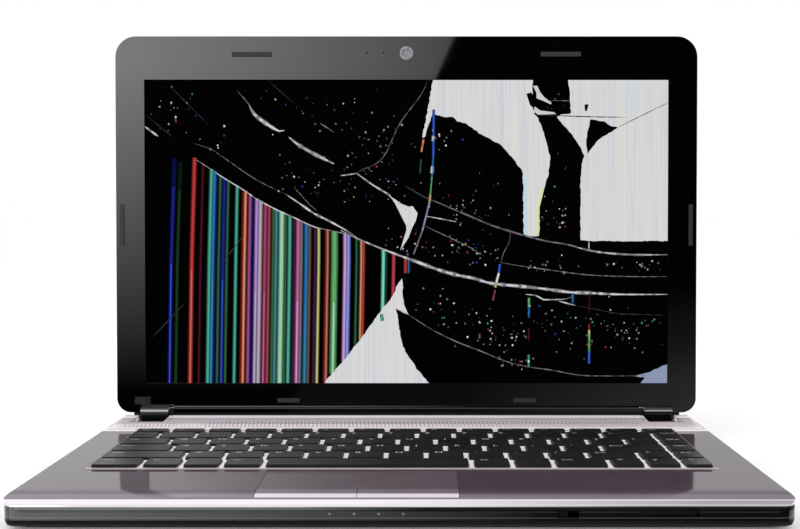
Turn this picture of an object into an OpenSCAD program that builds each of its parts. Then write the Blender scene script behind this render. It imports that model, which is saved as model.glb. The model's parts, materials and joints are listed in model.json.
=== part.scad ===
// Slim 13-inch laptop computer, opened, with a cracked display panel.
// Millimetres. +X to the user's right, +Y away from the user, +Z up.
// The origin is at the centre of the footprint of the opened machine, on the
// surface that it stands on. Construction is laid out from the front edge of
// the bottom key row (y = 0) and moved to that origin by place().

/* [Base] */
// Width of the base and of the lid
base_w = 326; // [300:1:360]
// Distance from the front of the key field to the front edge of the base
palm_d = 63.5; // [58:0.5:80]
// Distance from the front of the key field to the rear edge of the base
rear_d = 159; // [155:0.5:180]
// Height of the palm rest above the table
palm_z = 14.3; // [13.5:0.1:20]
// Height of the seam between the top case and the bottom cover
seam_z = 10.4; // [9.8:0.1:11]
// Wall thickness of the two base shells
shell_t = 1.6; // [1.2:0.1:2]
// Height of the rubber feet
foot_h = 1.5; // [1:0.1:3]
// Radius of the rubber feet
foot_r = 6; // [4:0.5:8]
// Radius of the front corners in plan
corner_r = 9; // [4:0.5:14]
// Height of the raised speaker deck over the palm rest, at its front
deck_rise = 1.6; // [1:0.1:2]
// Depth of the raised speaker deck
deck_d = 39.8; // [36:0.2:44]

/* [Keyboard] */
// Pitch of a one-unit key
key_u = 19.05; // [18:0.05:19.3]
// Light gap between neighbouring key caps
key_gap = 2.5; // [1.2:0.05:2.8]
// Depth of the short function keys
fn_d = 11.2; // [9:0.1:14]
// Height of the key caps above the keyboard plate
key_rise = 1.5; // [1.4:0.1:2.2]
// Travel of a key
key_travel = 1.6; // [1:0.1:1.8]
// Running clearance between a key cap and its window
key_play = 0.2; // [0.15:0.01:0.3]

/* [Touchpad] */
// Width of the touchpad
pad_w = 85.1; // [60:0.1:100]
// Depth of the touch surface
pad_d = 40.4; // [34:0.1:42]
// Depth of the two buttons
button_d = 11; // [8:0.1:12]
// Sideways offset of the touchpad from the middle of the base
pad_x = -17.75; // [-30:0.25:10]

/* [Lid] */
// Length of the lid from its hinge end to its top edge
lid_l = 210.8; // [200:0.1:215]
// Thickness of the lid
lid_t = 7; // [6.6:0.1:9]
// How far the lid leans back from upright
lid_lean = 4.6; // [0:0.1:20]
// Radius of the top corners of the lid
lid_top_r = 11.5; // [6:0.5:16]
// Radius of the bottom corners of the lid
lid_low_r = 8; // [4:0.5:10]
// Width of the visible display
view_w = 294; // [270:1:300]
// Height of the visible display
view_h = 170.2; // [150:0.1:175]
// Width of the bezel below the display
chin = 16.5; // [11:0.1:18]
// Thickness of the bezel
bezel_t = 1.4; // [1:0.1:1.6]

/* [Hinges] */
// Distance of the middle of each hinge barrel from the middle of the laptop
hinge_x = 141.5; // [120:0.5:144]
// Width of the hinge barrel covers
barrel_w = 15.6; // [12:0.2:20]
// Radius of the hinge barrel covers
barrel_r = 4; // [3.6:0.1:4.2]
// Radius of the hinge pins
pin_r = 2; // [1.5:0.1:2.4]

/* [Hidden] */
$fn = 48;
eps = 0.01;

front_y = -palm_d;
rear_y = rear_d;
plate_z = palm_z + 0.2;
chine_z = seam_z - 4.4;
deck_y0 = 5 * key_u + fn_d + 1.1;
deck_y1 = deck_y0 + deck_d;
deck_z0 = palm_z + deck_rise;
deck_z1 = deck_z0 + 1;
deck_w = base_w - 10;
deck_slope = atan((deck_z1 - deck_z0) / deck_d);
trough_z = palm_z - 1.1;
rim_t = 0.8;

hinge_y = deck_y1 + 2;
hinge_z = deck_z1 + 0.8;
lid_y0 = -0.4;
lid_y1 = lid_y0 + lid_t;
lid_z0 = 0.4;
lid_z1 = lid_z0 + lid_l;
lid_edge_r = 2.2;
lid_skin = 1.4;
notch_z = 5;
view_z0 = lid_z0 + chin;
view_z1 = view_z0 + view_h;
glass_y = lid_y0 + bezel_t;
glass_t = 1.1;
light_t = 2.1;
arm_t = 0.8;
arm_y = lid_y1 - lid_skin - arm_t - 0.1;
panel_margin = 3.2;
pin_play = 0.05;
seat_play = 0.1;

y_back = hinge_y + (lid_z1 - lid_edge_r) * sin(lid_lean)
       + (lid_y1 - lid_edge_r) * cos(lid_lean) + lid_edge_r;
y_mid = (front_y + y_back) / 2;

// keyboard rows from the front row to the function row, widths in key units
SPACE_ROW = [1.239, 0.966, 0.966, 1, 5, 0.985, 0.987, 1.35, 0.87, 0.87, 0.767];
SHIFT_ROW = [2.075, 1, 1, 1, 1, 1, 1, 1, 1, 1, 1, 1.278, 0.877, 0.77];
HOME_ROW = [1.575, 1, 1, 1, 1, 1, 1, 1, 1, 1, 1, 1, 1.655, 0.77];
TAB_ROW = [1.325, 1, 1, 1, 1, 1, 1, 1, 1, 1, 1, 1, 1, 0.905, 0.77];
NUMBER_ROW = [0.825, 1, 1, 1, 1, 1, 1, 1, 1, 1, 1, 1, 1, 1.405, 0.77];
FUNCTION_ROW = [1, 1, 1, 1, 1, 1, 1, 1, 1, 1, 1, 1, 1, 1, 1];
ROWS = [SPACE_ROW, SHIFT_ROW, HOME_ROW, TAB_ROW, NUMBER_ROW, FUNCTION_ROW];
row_units = 15;
cap_front_r = 1.5;
cap_rear_r = 1.2;
cap_inset = 0.3;
cap_step = 0.8;
cap_bottom = plate_z - 1.8;
cap_top = plate_z + key_rise;
tray_x = row_units * key_u / 2 + 0.7;
tray_y0 = -1.5;
tray_y1 = deck_y0 - 0.2;
tray_z = cap_bottom - key_travel - 1.6;
tray_floor = 0.8;
web_t = 1;
well_play = 0.2;

pad_y1 = -4.6;
pad_y0 = pad_y1 - pad_d;
button_y1 = pad_y0 - 0.3;
button_y0 = button_y1 - button_d;
button_z = palm_z - 2.9;
slot_play = 0.25;

floor_z = foot_h + shell_t;
board_z = floor_z + 1.5;
board_t = 1.2;
board_x0 = -78;
board_x1 = 128;
board_y0 = 30;
board_y1 = 106;
fan_x = -110;
fan_y = deck_y0 - 41.55;
fan_w = 56;
fan_r = 24;
fan_h = 4.2;
fan_wall = 0.6;
fan_pin_r = 1.2;
fin_w = 11;
fin_d = 44;
cpu_x = -20;
cpu_y = deck_y0 - 21.55;
chip_h = 1.2;
memory_x = 40;
memory_y = 68;
card_x = 102;
card_y = 78;
drive_w = 100;
drive_d = 70;
drive_h = 5;
drive_x = 84;
drive_y = -9;
battery_w = 200;
battery_d = 32;
battery_y = 115;
battery_h = 8;
speaker_w = 22;
speaker_d = 26;
speaker_h = 5;
speaker_x = 116;
speaker_y = 116;

screw_r = 1.25;
screw_play = 0.1;
screw_head_r = 2.5;
screw_head_h = 1.2;
boss_r = 3.2;
side_screw_x = base_w / 2 - 15.5;
rear_screw_x = 80;
SCREWS = concat(
    [for (sx = [-1, 1]) for (y = [front_y + 17, 30, deck_y0 - 7.5]) [sx * side_screw_x, y]],
    [for (sx = [-1, 1]) [sx * rear_screw_x, rear_y - 6]]);
foot_x = base_w / 2 - 30;
FEET = [for (sx = [-1, 1]) for (y = [front_y + 26, rear_y - 22]) [sx * foot_x, y]];

lamp_z = 7.6;
lamp_r = 0.6;
LAMPS = [-28.4, -18.4, -8.4, 1.6];
switch_x = 68.7;
switch_w = 8.8;
switch_h = 3.2;
switch_z = 7.4;
switch_knob = 4.2;
switch_slide = 4;
slot_x = 110;
slot_w = 24.4;
slot_h = 2.6;
slot_z = 8.2;
power_x = -117;
power_y = 14;
power_w = 15;
power_d = 6;
power_h = 4;
port_in = 3;
port_len = 12;
port_z = 7.2;
usb_w = 13;
usb_h = 5.6;
video_w = 15;
jack_y = [-26, -14];
jack_r = 1.8;
jack_w = 7;
jack_h = 5.6;
inlet_y = 112;
inlet_r = 2.75;
inlet_w = 9;
USB = [[1, 8], [1, 52], [-1, 8]];

// ---- frames -------------------------------------------------------------

module place() {
    translate([0, -y_mid, 0]) children();
}

// lid frame: x to the right, y through the lid to its back, z up the lid,
// with the hinge axis along x through the origin
module place_lid() {
    place() translate([0, hinge_y, hinge_z]) rotate([-lid_lean, 0, 0]) children();
}

module both_sides() {
    children();
    mirror([1, 0, 0]) children();
}

// a box from its low corner to its high corner
module span(low, high) {
    translate(low) cube(high - low);
}

// a rectangle from x0, y0 to x1, y1 with one radius at the low-y corners and
// another at the high-y corners
module round_rect(x0, y0, x1, y1, low_r, high_r) {
    difference() {
        translate([x0, y0]) square([x1 - x0, y1 - y0]);
        for (sx = [0, 1]) {
            x = sx == 0 ? x0 : x1;
            in = sx == 0 ? 1 : -1;
            if (low_r > 0) corner_cut(x, y0, in, 1, low_r);
            if (high_r > 0) corner_cut(x, y1, in, -1, high_r);
        }
    }
}

module corner_cut(x, y, in_x, in_y, r) {
    difference() {
        translate([x, y]) square(2 * r, center = true);
        translate([x + in_x * r, y + in_y * r]) circle(r);
        translate([x + in_x * 2 * r, y + in_y * r]) square(2 * r, center = true);
        translate([x + in_x * r, y + in_y * 2 * r]) square(2 * r, center = true);
    }
}

// a profile drawn in (y, z), swept along x from -w/2 to w/2
module sweep_x(w) {
    rotate([90, 0, 90]) translate([0, 0, -w / 2]) linear_extrude(w) children();
}

// a profile drawn in (x, z), swept along y from y0 to y1
module sweep_y(y0, y1) {
    translate([0, y1, 0]) rotate([90, 0, 0]) linear_extrude(y1 - y0) children();
}

function arc(c, r, a0, a1, n) =
    [for (k = [0 : n]) let (a = a0 + (a1 - a0) * k / n) [c[0] + r * cos(a), c[1] + r * sin(a)]];

// ---- outer form of the base ---------------------------------------------

// the lower edge tucks in under the base along a quadratic curve: how far it
// has come in, and how high it is, at step s from 0 (chine) to 1 (underside)
tuck = 4.5;
function tuck_in(s) = 2 * s * (1 - s) * 0.5 + s * s * tuck;
function tuck_z(s) =
    (1 - s) * (1 - s) * chine_z + 2 * s * (1 - s) * (chine_z - 2.6) + s * s * foot_h;
tuck_steps = 8;

// front edge: a wide arc rolls the palm rest down and a small one turns it
// under; both arcs meet at a tangent
roll_r = 40;
lip_r = 3.2;
roll_y = front_y + 17.5;
roll_z = palm_z - roll_r;
lip_y = front_y + lip_r;
lip_turn = acos((lip_y - roll_y) / (roll_r - lip_r));
lip_z = roll_z + (roll_r - lip_r) * sin(lip_turn);
edge_r = 2;

module side_profile(in = 0) {
    polygon(concat(
        [[rear_y - in, trough_z - in], [rear_y - in, foot_h + 4 + in], [rear_y - 4 - in, foot_h + in]],
        [for (k = [tuck_steps : -1 : 0]) let (s = k / tuck_steps)
            [front_y + in + tuck_in(s), tuck_z(s) + in * s]],
        arc([lip_y, lip_z], lip_r - in, 180, lip_turn, 6),
        arc([roll_y, roll_z], roll_r - in, lip_turn, 90, 8),
        [[deck_y1 - in, palm_z - in], [deck_y1 - in, trough_z - in]]));
}

module end_profile(in = 0) {
    half = base_w / 2 - in;
    right = concat(
        [for (k = [tuck_steps : -1 : 0]) let (s = k / tuck_steps)
            [half - tuck_in(s), tuck_z(s) + in * s]],
        arc([base_w / 2 - edge_r, palm_z - edge_r], edge_r - min(in, edge_r - 0.2), 0, 90, 5));
    left = [for (k = [len(right) - 1 : -1 : 0]) [-right[k][0], right[k][1]]];
    polygon(concat(right, left));
}

module base_form(in = 0) {
    intersection() {
        translate([0, 0, -1]) linear_extrude(palm_z + 4)
            round_rect(-base_w / 2 + in, front_y + in, base_w / 2 - in, rear_y - in,
                       corner_r - in, corner_r - 2 - in);
        sweep_x(base_w + 2) side_profile(in);
        sweep_y(front_y - 1, rear_y + 1) end_profile(in);
    }
}

module deck_form(in = 0, under = 4) {
    sweep_x(deck_w - 2 * in) polygon([
        [deck_y0 + in, palm_z - under], [deck_y0 + in, deck_z0 - in],
        [deck_y1 - in, deck_z1 - in], [deck_y1 - in, palm_z - under]]);
}

// ---- base shells --------------------------------------------------------

recess_x0 = hinge_x - barrel_w / 2 - 1;
recess_x1 = hinge_x + barrel_w / 2 + 1;
recess_y0 = deck_y1 - 23.5;
recess_z = palm_z + 0.8;
cheek_x0 = recess_x0 - 1.4;
cheek_x1 = cheek_x0 + 2;

module bottom_cover() {
    color([0.05, 0.05, 0.055]) place() difference() {
        union() {
            difference() {
                intersection() {
                    base_form();
                    span([-base_w, front_y - 5, -1], [base_w, rear_y + 5, seam_z]);
                }
                base_form(shell_t);
            }
            for (p = SCREWS)
                translate([p[0], p[1], foot_h + 0.2]) cylinder(r = boss_r, h = seam_z - foot_h - 0.4);
            board_posts();
        }
        for (p = SCREWS) {
            translate([p[0], p[1], 0]) cylinder(r = screw_r + screw_play, h = seam_z + 1);
            translate([p[0], p[1], 0]) cylinder(r = screw_head_r + screw_play, h = foot_h + screw_head_h);
        }
        intake_slots();
        outlet_slots();
        for (x = LAMPS) translate([x, front_y - 2, lamp_z]) rotate([-90, 0, 0])
            cylinder(r = lamp_r + pin_play, h = 8);
        translate([switch_x, front_y, switch_z]) cube([switch_w, 16, switch_h], center = true);
        translate([slot_x, front_y, slot_z]) cube([slot_w, 30, slot_h], center = true);
        port_cuts();
    }
}

// air intake under the fan
module intake_slots() {
    for (k = [-4 : 4]) translate([fan_x + 5 * k, fan_y, foot_h]) cube([2, 30, 6], center = true);
}

// air outlet in the left side wall beside the fan
module outlet_slots() {
    for (k = [-7 : 7]) translate([-base_w / 2, fan_y + 3.2 * k, 6.6])
        cube([12, 1.6, 3.2], center = true);
}

BOARD_POSTS = [[board_x0 + 6, board_y0 + 5], [board_x1 - 6, board_y0 + 5],
               [board_x0 + 6, board_y1 - 6], [board_x1 - 6, board_y1 - 6]];

module board_posts() {
    for (p = BOARD_POSTS)
        translate([p[0], p[1], floor_z - 0.2]) cylinder(r = 2.5, h = board_z - floor_z + 0.2);
}

module top_case() {
    color([0.52, 0.47, 0.5]) place() difference() {
        union() {
            difference() {
                union() {
                    intersection() {
                        base_form();
                        span([-base_w, front_y - 5, seam_z], [base_w, rear_y + 5, palm_z + 4]);
                    }
                    deck_form();
                }
                base_form(shell_t);
                deck_form(shell_t, 6);
            }
            both_sides() hinge_seat();
            rear_rim();
            for (p = SCREWS) translate([p[0], p[1], seam_z])
                cylinder(r = boss_r, h = (p[1] > deck_y1 ? trough_z : palm_z) - seam_z - 0.5);
        }
        both_sides() hinge_recess();
        well_cut();
        grille_pocket();
        pad_cut();
        for (p = SCREWS) translate([p[0], p[1], seam_z - 1])
            cylinder(r = screw_r + pin_play, h = 3.4);
    }
}

module hinge_seat() {
    span([cheek_x0 - 1.4, recess_y0 - 1.6, trough_z - shell_t],
         [recess_x1 + 1.6, deck_y1, deck_z0 + (deck_z1 - deck_z0) * 0.6]);
}

// low wall behind the lid that closes the view under it
module rear_rim() {
    half = base_w / 2 - corner_r + 1.5;
    span([-half, rear_y - rim_t, trough_z - 1], [half, rear_y, deck_z1]);
}

module hinge_recess() {
    span([recess_x0, recess_y0, recess_z], [recess_x1, deck_y1 + 1, deck_z1 + 2]);
    span([recess_x0, hinge_y - 7, trough_z], [recess_x1, deck_y1 + 1, deck_z1 + 2]);
    span([cheek_x0 - 0.2, hinge_y - 3.6, seam_z - 1], [cheek_x1 + 0.2, hinge_y + 3.6, deck_z1 + 2]);
}

module well_cut() {
    span([-tray_x - well_play, tray_y0 - well_play, seam_z - 2],
         [tray_x + well_play, tray_y1 + well_play, deck_z0 + 1]);
}

grille_in = 1.8;
grille_t = 1.4;

module grille_pocket() {
    translate([0, deck_y0, deck_z0]) rotate([deck_slope, 0, 0]) difference() {
        span([-deck_w / 2 + grille_in - 0.1, grille_in - 0.1, -grille_t],
             [deck_w / 2 - grille_in + 0.1, deck_d - grille_in + 0.1, 4]);
        both_sides() grille_notch(-0.1);
    }
    span([-deck_w / 2 + grille_in + 2, deck_y0 + grille_in + 2, deck_z0 - 4],
         [deck_w / 2 - grille_in - 2, recess_y0 - 3.4, deck_z0 + 1]);
    span([-cheek_x0 + 3.4, deck_y0 + grille_in + 2, deck_z0 - 4],
         [cheek_x0 - 3.4, deck_y1 - grille_in - 2, deck_z0 + 1]);
}

module grille_notch(play) {
    span([cheek_x0 - 1.4 - play, recess_y0 - deck_y0 - 1.6 - play, -grille_t - 1],
         [recess_x1 + 1.6 + play, deck_d + 1, grille_t + 4]);
}

module speaker_grille() {
    color([0.72, 0.67, 0.7]) place() translate([0, deck_y0, deck_z0]) rotate([deck_slope, 0, 0])
    difference() {
        span([-deck_w / 2 + grille_in, grille_in, -grille_t],
             [deck_w / 2 - grille_in, deck_d - grille_in, 0]);
        both_sides() grille_notch(0);
        power_window();
        translate([0, 0, -grille_t - 1]) linear_extrude(grille_t + 2) grille_holes();
    }
}

hole_w = 0.9;
hole_pitch = 2.15;
hole_edge = 7;
HOLE_ROWS = [[3, 8.6], [11.4, 20.4]];

function near_power(x) = abs(x - power_x) < power_w / 2 + 2;

module grille_holes() {
    count = floor((deck_w / 2 - hole_edge) / hole_pitch);
    for (row = [0, 1]) for (k = [-count : count - row])
        let (x = (k + row / 2) * hole_pitch)
            if (!near_power(x) && (row == 0 || abs(x) < cheek_x0 - 3.5))
                translate([x - hole_w / 2, HOLE_ROWS[row][0]])
                    square([hole_w, HOLE_ROWS[row][1] - HOLE_ROWS[row][0]]);
}

module power_window() {
    span([power_x - power_w / 2 - slot_play, power_y - power_d / 2 - slot_play, -grille_t - 1],
         [power_x + power_w / 2 + slot_play, power_y + power_d / 2 + slot_play, 2]);
}

module power_button() {
    color([0.6, 0.56, 0.58]) place() translate([0, deck_y0, deck_z0]) rotate([deck_slope, 0, 0])
        translate([0, 0, 0.3 - power_h]) linear_extrude(power_h)
            round_rect(power_x - power_w / 2, power_y - power_d / 2,
                       power_x + power_w / 2, power_y + power_d / 2, 1.5, 1.5);
}

// ---- keyboard -----------------------------------------------------------

function key_left(row, i) =
    i == 0 ? -row_units / 2 * key_u : key_left(row, i - 1) + ROWS[row][i - 1] * key_u;
function row_depth(row) = row == 5 ? fn_d : key_u;

module cap_outline(row, i, grow = 0) {
    x0 = key_left(row, i) + key_gap / 2 - grow;
    x1 = key_left(row, i) + ROWS[row][i] * key_u - key_gap / 2 + grow;
    y0 = row * key_u + key_gap / 2 - grow;
    y1 = row * key_u + row_depth(row) - key_gap / 2 + grow;
    round_rect(x0, y0, x1, y1, cap_front_r + grow, cap_rear_r + grow);
}

module key_cap(row, i) {
    translate([0, 0, cap_bottom]) linear_extrude(cap_top - cap_bottom - cap_step) cap_outline(row, i);
    translate([0, 0, cap_top - cap_step - 0.1]) linear_extrude(cap_step + 0.1) cap_outline(row, i, -cap_inset);
}

module keys(row, first, last) {
    color([0.07, 0.07, 0.075]) place() for (i = [first : last]) key_cap(row, i);
}

module keyboard_frame() {
    color([0.78, 0.75, 0.77]) place() difference() {
        span([-tray_x, tray_y0, tray_z], [tray_x, tray_y1, plate_z]);
        span([-tray_x + 0.9, tray_y0 + 0.9, tray_z + tray_floor],
             [tray_x - 0.9, tray_y1 - 0.9, plate_z - web_t]);
        translate([0, 0, plate_z - web_t - 1]) linear_extrude(web_t + 2)
            for (row = [0 : len(ROWS) - 1]) for (i = [0 : len(ROWS[row]) - 1])
                cap_outline(row, i, key_play);
    }
}

module space_bar() { keys(0, 4, 4); }
module key_ctrl_left() { keys(0, 0, 0); }
module modifier_keys() {
    keys(0, 1, 3);
    keys(0, 5, 6);
}
module key_ctrl_right() { keys(0, 7, 7); }
module key_arrow_left() { keys(0, 8, 8); }
module key_arrow_down() { keys(0, 9, 9); }
module key_arrow_right() { keys(0, 10, 10); }
module key_shift_left() { keys(1, 0, 0); }
module lower_letter_keys() { keys(1, 1, 10); }
module key_shift_right() { keys(1, 11, 11); }
module key_arrow_up() { keys(1, 12, 12); }
module key_caps_lock() { keys(2, 0, 0); }
module home_letter_keys() { keys(2, 1, 11); }
module key_enter() { keys(2, 12, 12); }
module key_tab() { keys(3, 0, 0); }
module upper_letter_keys() { keys(3, 1, 13); }
module number_keys() { keys(4, 0, 12); }
module key_backspace() { keys(4, 13, 13); }
module navigation_keys() {
    keys(1, 13, 13);
    keys(2, 13, 13);
    keys(3, 14, 14);
    keys(4, 14, 14);
}
module key_escape() { keys(5, 0, 0); }
module function_keys() { keys(5, 1, 13); }
module key_delete() { keys(5, 14, 14); }

// ---- touchpad -----------------------------------------------------------

module pad_cut() {
    span([pad_x - pad_w / 2, button_y0, button_z - 2], [pad_x + pad_w / 2, pad_y1, palm_z + 2]);
}

module touchpad() {
    color([0.5, 0.45, 0.48]) place() {
        span([pad_x - pad_w / 2 + 0.1, pad_y0, palm_z - shell_t - eps],
             [pad_x + pad_w / 2 - 0.1, pad_y1 - 0.1, palm_z - 0.15]);
        span([pad_x - pad_w / 2 - 2.5, pad_y0, palm_z - shell_t - 1],
             [pad_x + pad_w / 2 + 2.5, pad_y1 + 1.8, palm_z - shell_t]);
    }
}

module pad_button(x0, x1) {
    color([0.66, 0.61, 0.64]) place() intersection() {
        base_form();
        span([x0 + slot_play, button_y0 + slot_play, button_z], [x1 - slot_play, button_y1, palm_z + 1]);
    }
}

module touchpad_button_left() { pad_button(pad_x - pad_w / 2, pad_x + slot_play / 2); }
module touchpad_button_right() { pad_button(pad_x - slot_play / 2, pad_x + pad_w / 2); }

// ---- front edge and ports -----------------------------------------------

module wireless_switch() {
    color([0.1, 0.1, 0.1]) place() translate([switch_x - switch_slide / 2, front_y + 4.2, switch_z])
        cube([switch_knob, 4, switch_h - 0.4], center = true);
}

module card_slot_blank() {
    color([0.1, 0.1, 0.1]) place() translate([slot_x, front_y + 7.6, slot_z])
        cube([slot_w - 0.4, 13.4, slot_h - 0.4], center = true);
}

module status_lights() {
    color([0.85, 0.88, 0.85]) place() for (x = LAMPS)
        translate([x, front_y + 0.6, lamp_z]) rotate([-90, 0, 0]) cylinder(r = lamp_r, h = 3);
}

// rectangular opening in a side wall: side is -1 on the left and 1 on the right
module wall_cut(side, y, w, h) {
    translate([side * base_w / 2, y, port_z]) cube([30, w + 0.3, h + 0.3], center = true);
}

module port_block(side, y, w, h) {
    x = side * (base_w / 2 - port_in - port_len / 2);
    translate([x, y, port_z]) cube([port_len, w, h], center = true);
}

module port_cuts() {
    for (p = USB) wall_cut(p[0], p[1], usb_w, usb_h);
    wall_cut(-1, -18, video_w, usb_h);
    for (y = jack_y) wall_cut(1, y, jack_w, jack_h);
    wall_cut(-1, inlet_y, inlet_w, usb_h);
    translate([base_w / 2, deck_y1 - 12, port_z]) cube([8, 7, 3], center = true);
}

// a socket: a sheet-metal shell round a contact tongue
module socket(side, y, w, h, tongue_h) {
    difference() {
        port_block(side, y, w, h);
        translate([side * 2, 0, 0]) port_block(side, y, w - 0.8, h - 0.8);
    }
    translate([-side * 0.5, 0, 0.3]) intersection() {
        port_block(side, y, w - 2.4, tongue_h);
        translate([-side * 1.2, 0, 0]) port_block(side, y, w, h);
    }
}

module side_ports() {
    color([0.75, 0.76, 0.78]) place() {
        for (p = USB) socket(p[0], p[1], usb_w, usb_h, 1.6);
        socket(-1, -18, video_w, usb_h, 1);
    }
}

module audio_jacks() {
    color([0.12, 0.12, 0.12]) place() for (y = jack_y) difference() {
        port_block(1, y, jack_w, jack_h);
        translate([base_w / 2 - port_in - port_len + 1, y, port_z]) rotate([0, 90, 0])
            cylinder(r = jack_r, h = port_len);
    }
}

module power_inlet() {
    color([0.12, 0.12, 0.12]) place() {
        x0 = -base_w / 2 + port_in;
        difference() {
            port_block(-1, inlet_y, inlet_w, usb_h);
            translate([x0 - 1, inlet_y, port_z]) rotate([0, 90, 0])
                cylinder(r = inlet_r - 0.2, h = port_len - 0.5);
        }
        translate([x0 + 1, inlet_y, port_z]) rotate([0, 90, 0]) cylinder(r = 0.8, h = port_len - 1.5);
    }
}

// ---- inside the base ----------------------------------------------------

module motherboard() {
    color([0.05, 0.25, 0.12]) place() {
        difference() {
            span([board_x0, board_y0, board_z], [board_x1, board_y1, board_z + board_t]);
            for (p = BOARD_POSTS) translate([p[0], p[1], board_z - 1]) cylinder(r = 1.2, h = board_t + 2);
        }
        board_top = board_z + board_t;
        translate([cpu_x, cpu_y, board_top + chip_h / 2 - eps]) cube([14, 14, chip_h], center = true);
        translate([cpu_x + 8, 50, board_top + 0.6 - eps]) cube([22, 22, 1.2], center = true);
        translate([memory_x, memory_y - 16.5, board_top + 1 - eps]) cube([70, 3, 2], center = true);
        translate([card_x, card_y - 15, board_top + 1 - eps]) cube([30, 3, 2], center = true);
    }
}

module memory_module() {
    color([0.05, 0.3, 0.15]) place() translate([memory_x, memory_y, board_z + board_t + 1]) {
        translate([0, 0.2, 0]) cube([67.6, 29.6, 1], center = true);
        for (k = [-1.5 : 1.5]) translate([k * 16, 4, 0.9]) cube([11, 12, 1], center = true);
    }
}

module wireless_card() {
    color([0.1, 0.35, 0.2]) place() translate([card_x, card_y, board_z + board_t + 1]) {
        translate([0, 0.1, 0]) cube([30, 26.8, 1], center = true);
        translate([0, 3, 0.9]) cube([18, 14, 1], center = true);
    }
}

module heat_pipe() {
    pipe_z = board_z + board_t + chip_h + 0.4;
    pipe_x0 = -base_w / 2 + 13.6;
    color([0.72, 0.45, 0.3]) place() {
        translate([cpu_x, cpu_y, pipe_z - 0.2]) cube([26, 22, 0.4], center = true);
        span([pipe_x0, cpu_y - 4, pipe_z - eps], [cpu_x + 11, cpu_y + 2, pipe_z + 1.4]);
        for (k = [0 : 14]) span([pipe_x0, fan_y - fin_d / 2 + k * 3, floor_z + 0.4],
                                [pipe_x0 + fin_w, fan_y - fin_d / 2 + k * 3 + 0.6, pipe_z - 0.3]);
        span([pipe_x0, fan_y - fin_d / 2, pipe_z - 0.4], [pipe_x0 + fin_w, fan_y + fin_d / 2, pipe_z]);
    }
}

module fan_housing() {
    color([0.1, 0.1, 0.11]) place() translate([fan_x, fan_y, floor_z]) {
        difference() {
            translate([-fan_w / 2, -fan_w / 2, 0]) cube([fan_w, fan_w, fan_h]);
            translate([0, 0, fan_wall]) cylinder(r = fan_r + 1.5, h = fan_h - 2 * fan_wall);
            translate([-fan_w / 2 - 1, -fan_r, fan_wall]) cube([fan_w / 2, 2 * fan_r, fan_h - 2 * fan_wall]);
            difference() {
                translate([0, 0, -1]) cylinder(r = fan_r - 6, h = fan_wall + 2);
                translate([0, 0, -2]) cylinder(r = 9, h = fan_wall + 4);
                cube([2 * fan_w, 3, 8], center = true);
            }
        }
        cylinder(r = fan_pin_r, h = fan_h - fan_wall);
    }
}

module fan_rotor() {
    blades = 23;
    color([0.2, 0.2, 0.22]) place() translate([fan_x, fan_y, floor_z + fan_wall + 0.2]) difference() {
        union() {
            cylinder(r = 9, h = fan_h - 2 * fan_wall - 0.4);
            for (k = [0 : blades - 1]) rotate([0, 0, k * 360 / blades]) translate([8, -0.3, 0.3])
                cube([fan_r - 8, 0.6, fan_h - 2 * fan_wall - 0.8]);
        }
        translate([0, 0, -1]) cylinder(r = fan_pin_r + pin_play, h = fan_h + 2);
    }
}

module battery_pack() {
    color([0.12, 0.12, 0.13]) place()
        span([-battery_w / 2, battery_y, floor_z],
             [battery_w / 2, battery_y + battery_d, floor_z + battery_h]);
}

module hard_drive() {
    color([0.7, 0.71, 0.72]) place() translate([drive_x, drive_y, floor_z + drive_h / 2])
        cube([drive_w, drive_d, drive_h], center = true);
}

module speakers() {
    color([0.1, 0.1, 0.1]) place() both_sides() difference() {
        span([speaker_x - speaker_w / 2, speaker_y, floor_z],
             [speaker_x + speaker_w / 2, speaker_y + speaker_d, floor_z + speaker_h]);
        translate([speaker_x, speaker_y + speaker_d / 2, floor_z + speaker_h - 0.8]) cylinder(r = 9, h = 2);
    }
}

module rubber_feet() {
    color([0.03, 0.03, 0.03]) place() for (p = FEET)
        translate([p[0], p[1], 0]) cylinder(r = foot_r, h = foot_h);
}

module case_screws() {
    color([0.3, 0.3, 0.32]) place() for (p = SCREWS) translate([p[0], p[1], foot_h + 0.05]) {
        difference() {
            cylinder(r = screw_head_r, h = screw_head_h - 0.05);
            translate([0, 0, -0.5]) cube([3, 0.6, 2], center = true);
            translate([0, 0, -0.5]) cube([0.6, 3, 2], center = true);
        }
        cylinder(r = screw_r, h = seam_z + 2.2 - foot_h);
    }
}

// ---- hinges -------------------------------------------------------------

ring_x0 = hinge_x - 5.5;
ring_x1 = hinge_x + 0.5;
ring_r = 3.2;
arm_l = 42;

module along_hinge(x0, x1, r) {
    translate([x0, 0, 0]) rotate([0, 90, 0]) cylinder(r = r, h = x1 - x0);
}

module hinge_brackets() {
    color([0.35, 0.35, 0.37]) place() both_sides() {
        foot_z1 = trough_z - shell_t - 0.1;
        translate([0, hinge_y, hinge_z]) {
            along_hinge(cheek_x0, hinge_x + barrel_w / 2 - 2, pin_r);
            along_hinge(cheek_x0, cheek_x1, 3);
        }
        span([cheek_x0, hinge_y - 3, foot_z1 - 1.6], [cheek_x1, hinge_y + 3, hinge_z]);
        span([cheek_x0 - 24, hinge_y - 3, foot_z1 - 1.6], [cheek_x1, rear_y - shell_t - 0.8, foot_z1]);
    }
}

module hinge_arms() {
    color([0.4, 0.4, 0.42]) place_lid() both_sides() difference() {
        union() {
            along_hinge(ring_x0, ring_x1, ring_r);
            span([ring_x0, 0, 0.5], [ring_x1, arm_y + arm_t, 2.5]);
            span([ring_x0, arm_y, 0.5], [ring_x1, arm_y + arm_t, arm_l]);
        }
        along_hinge(ring_x0 - 1, ring_x1 + 1, pin_r + pin_play);
    }
}

cover_x0 = hinge_x - barrel_w / 2;
cover_x1 = hinge_x + barrel_w / 2;

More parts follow.
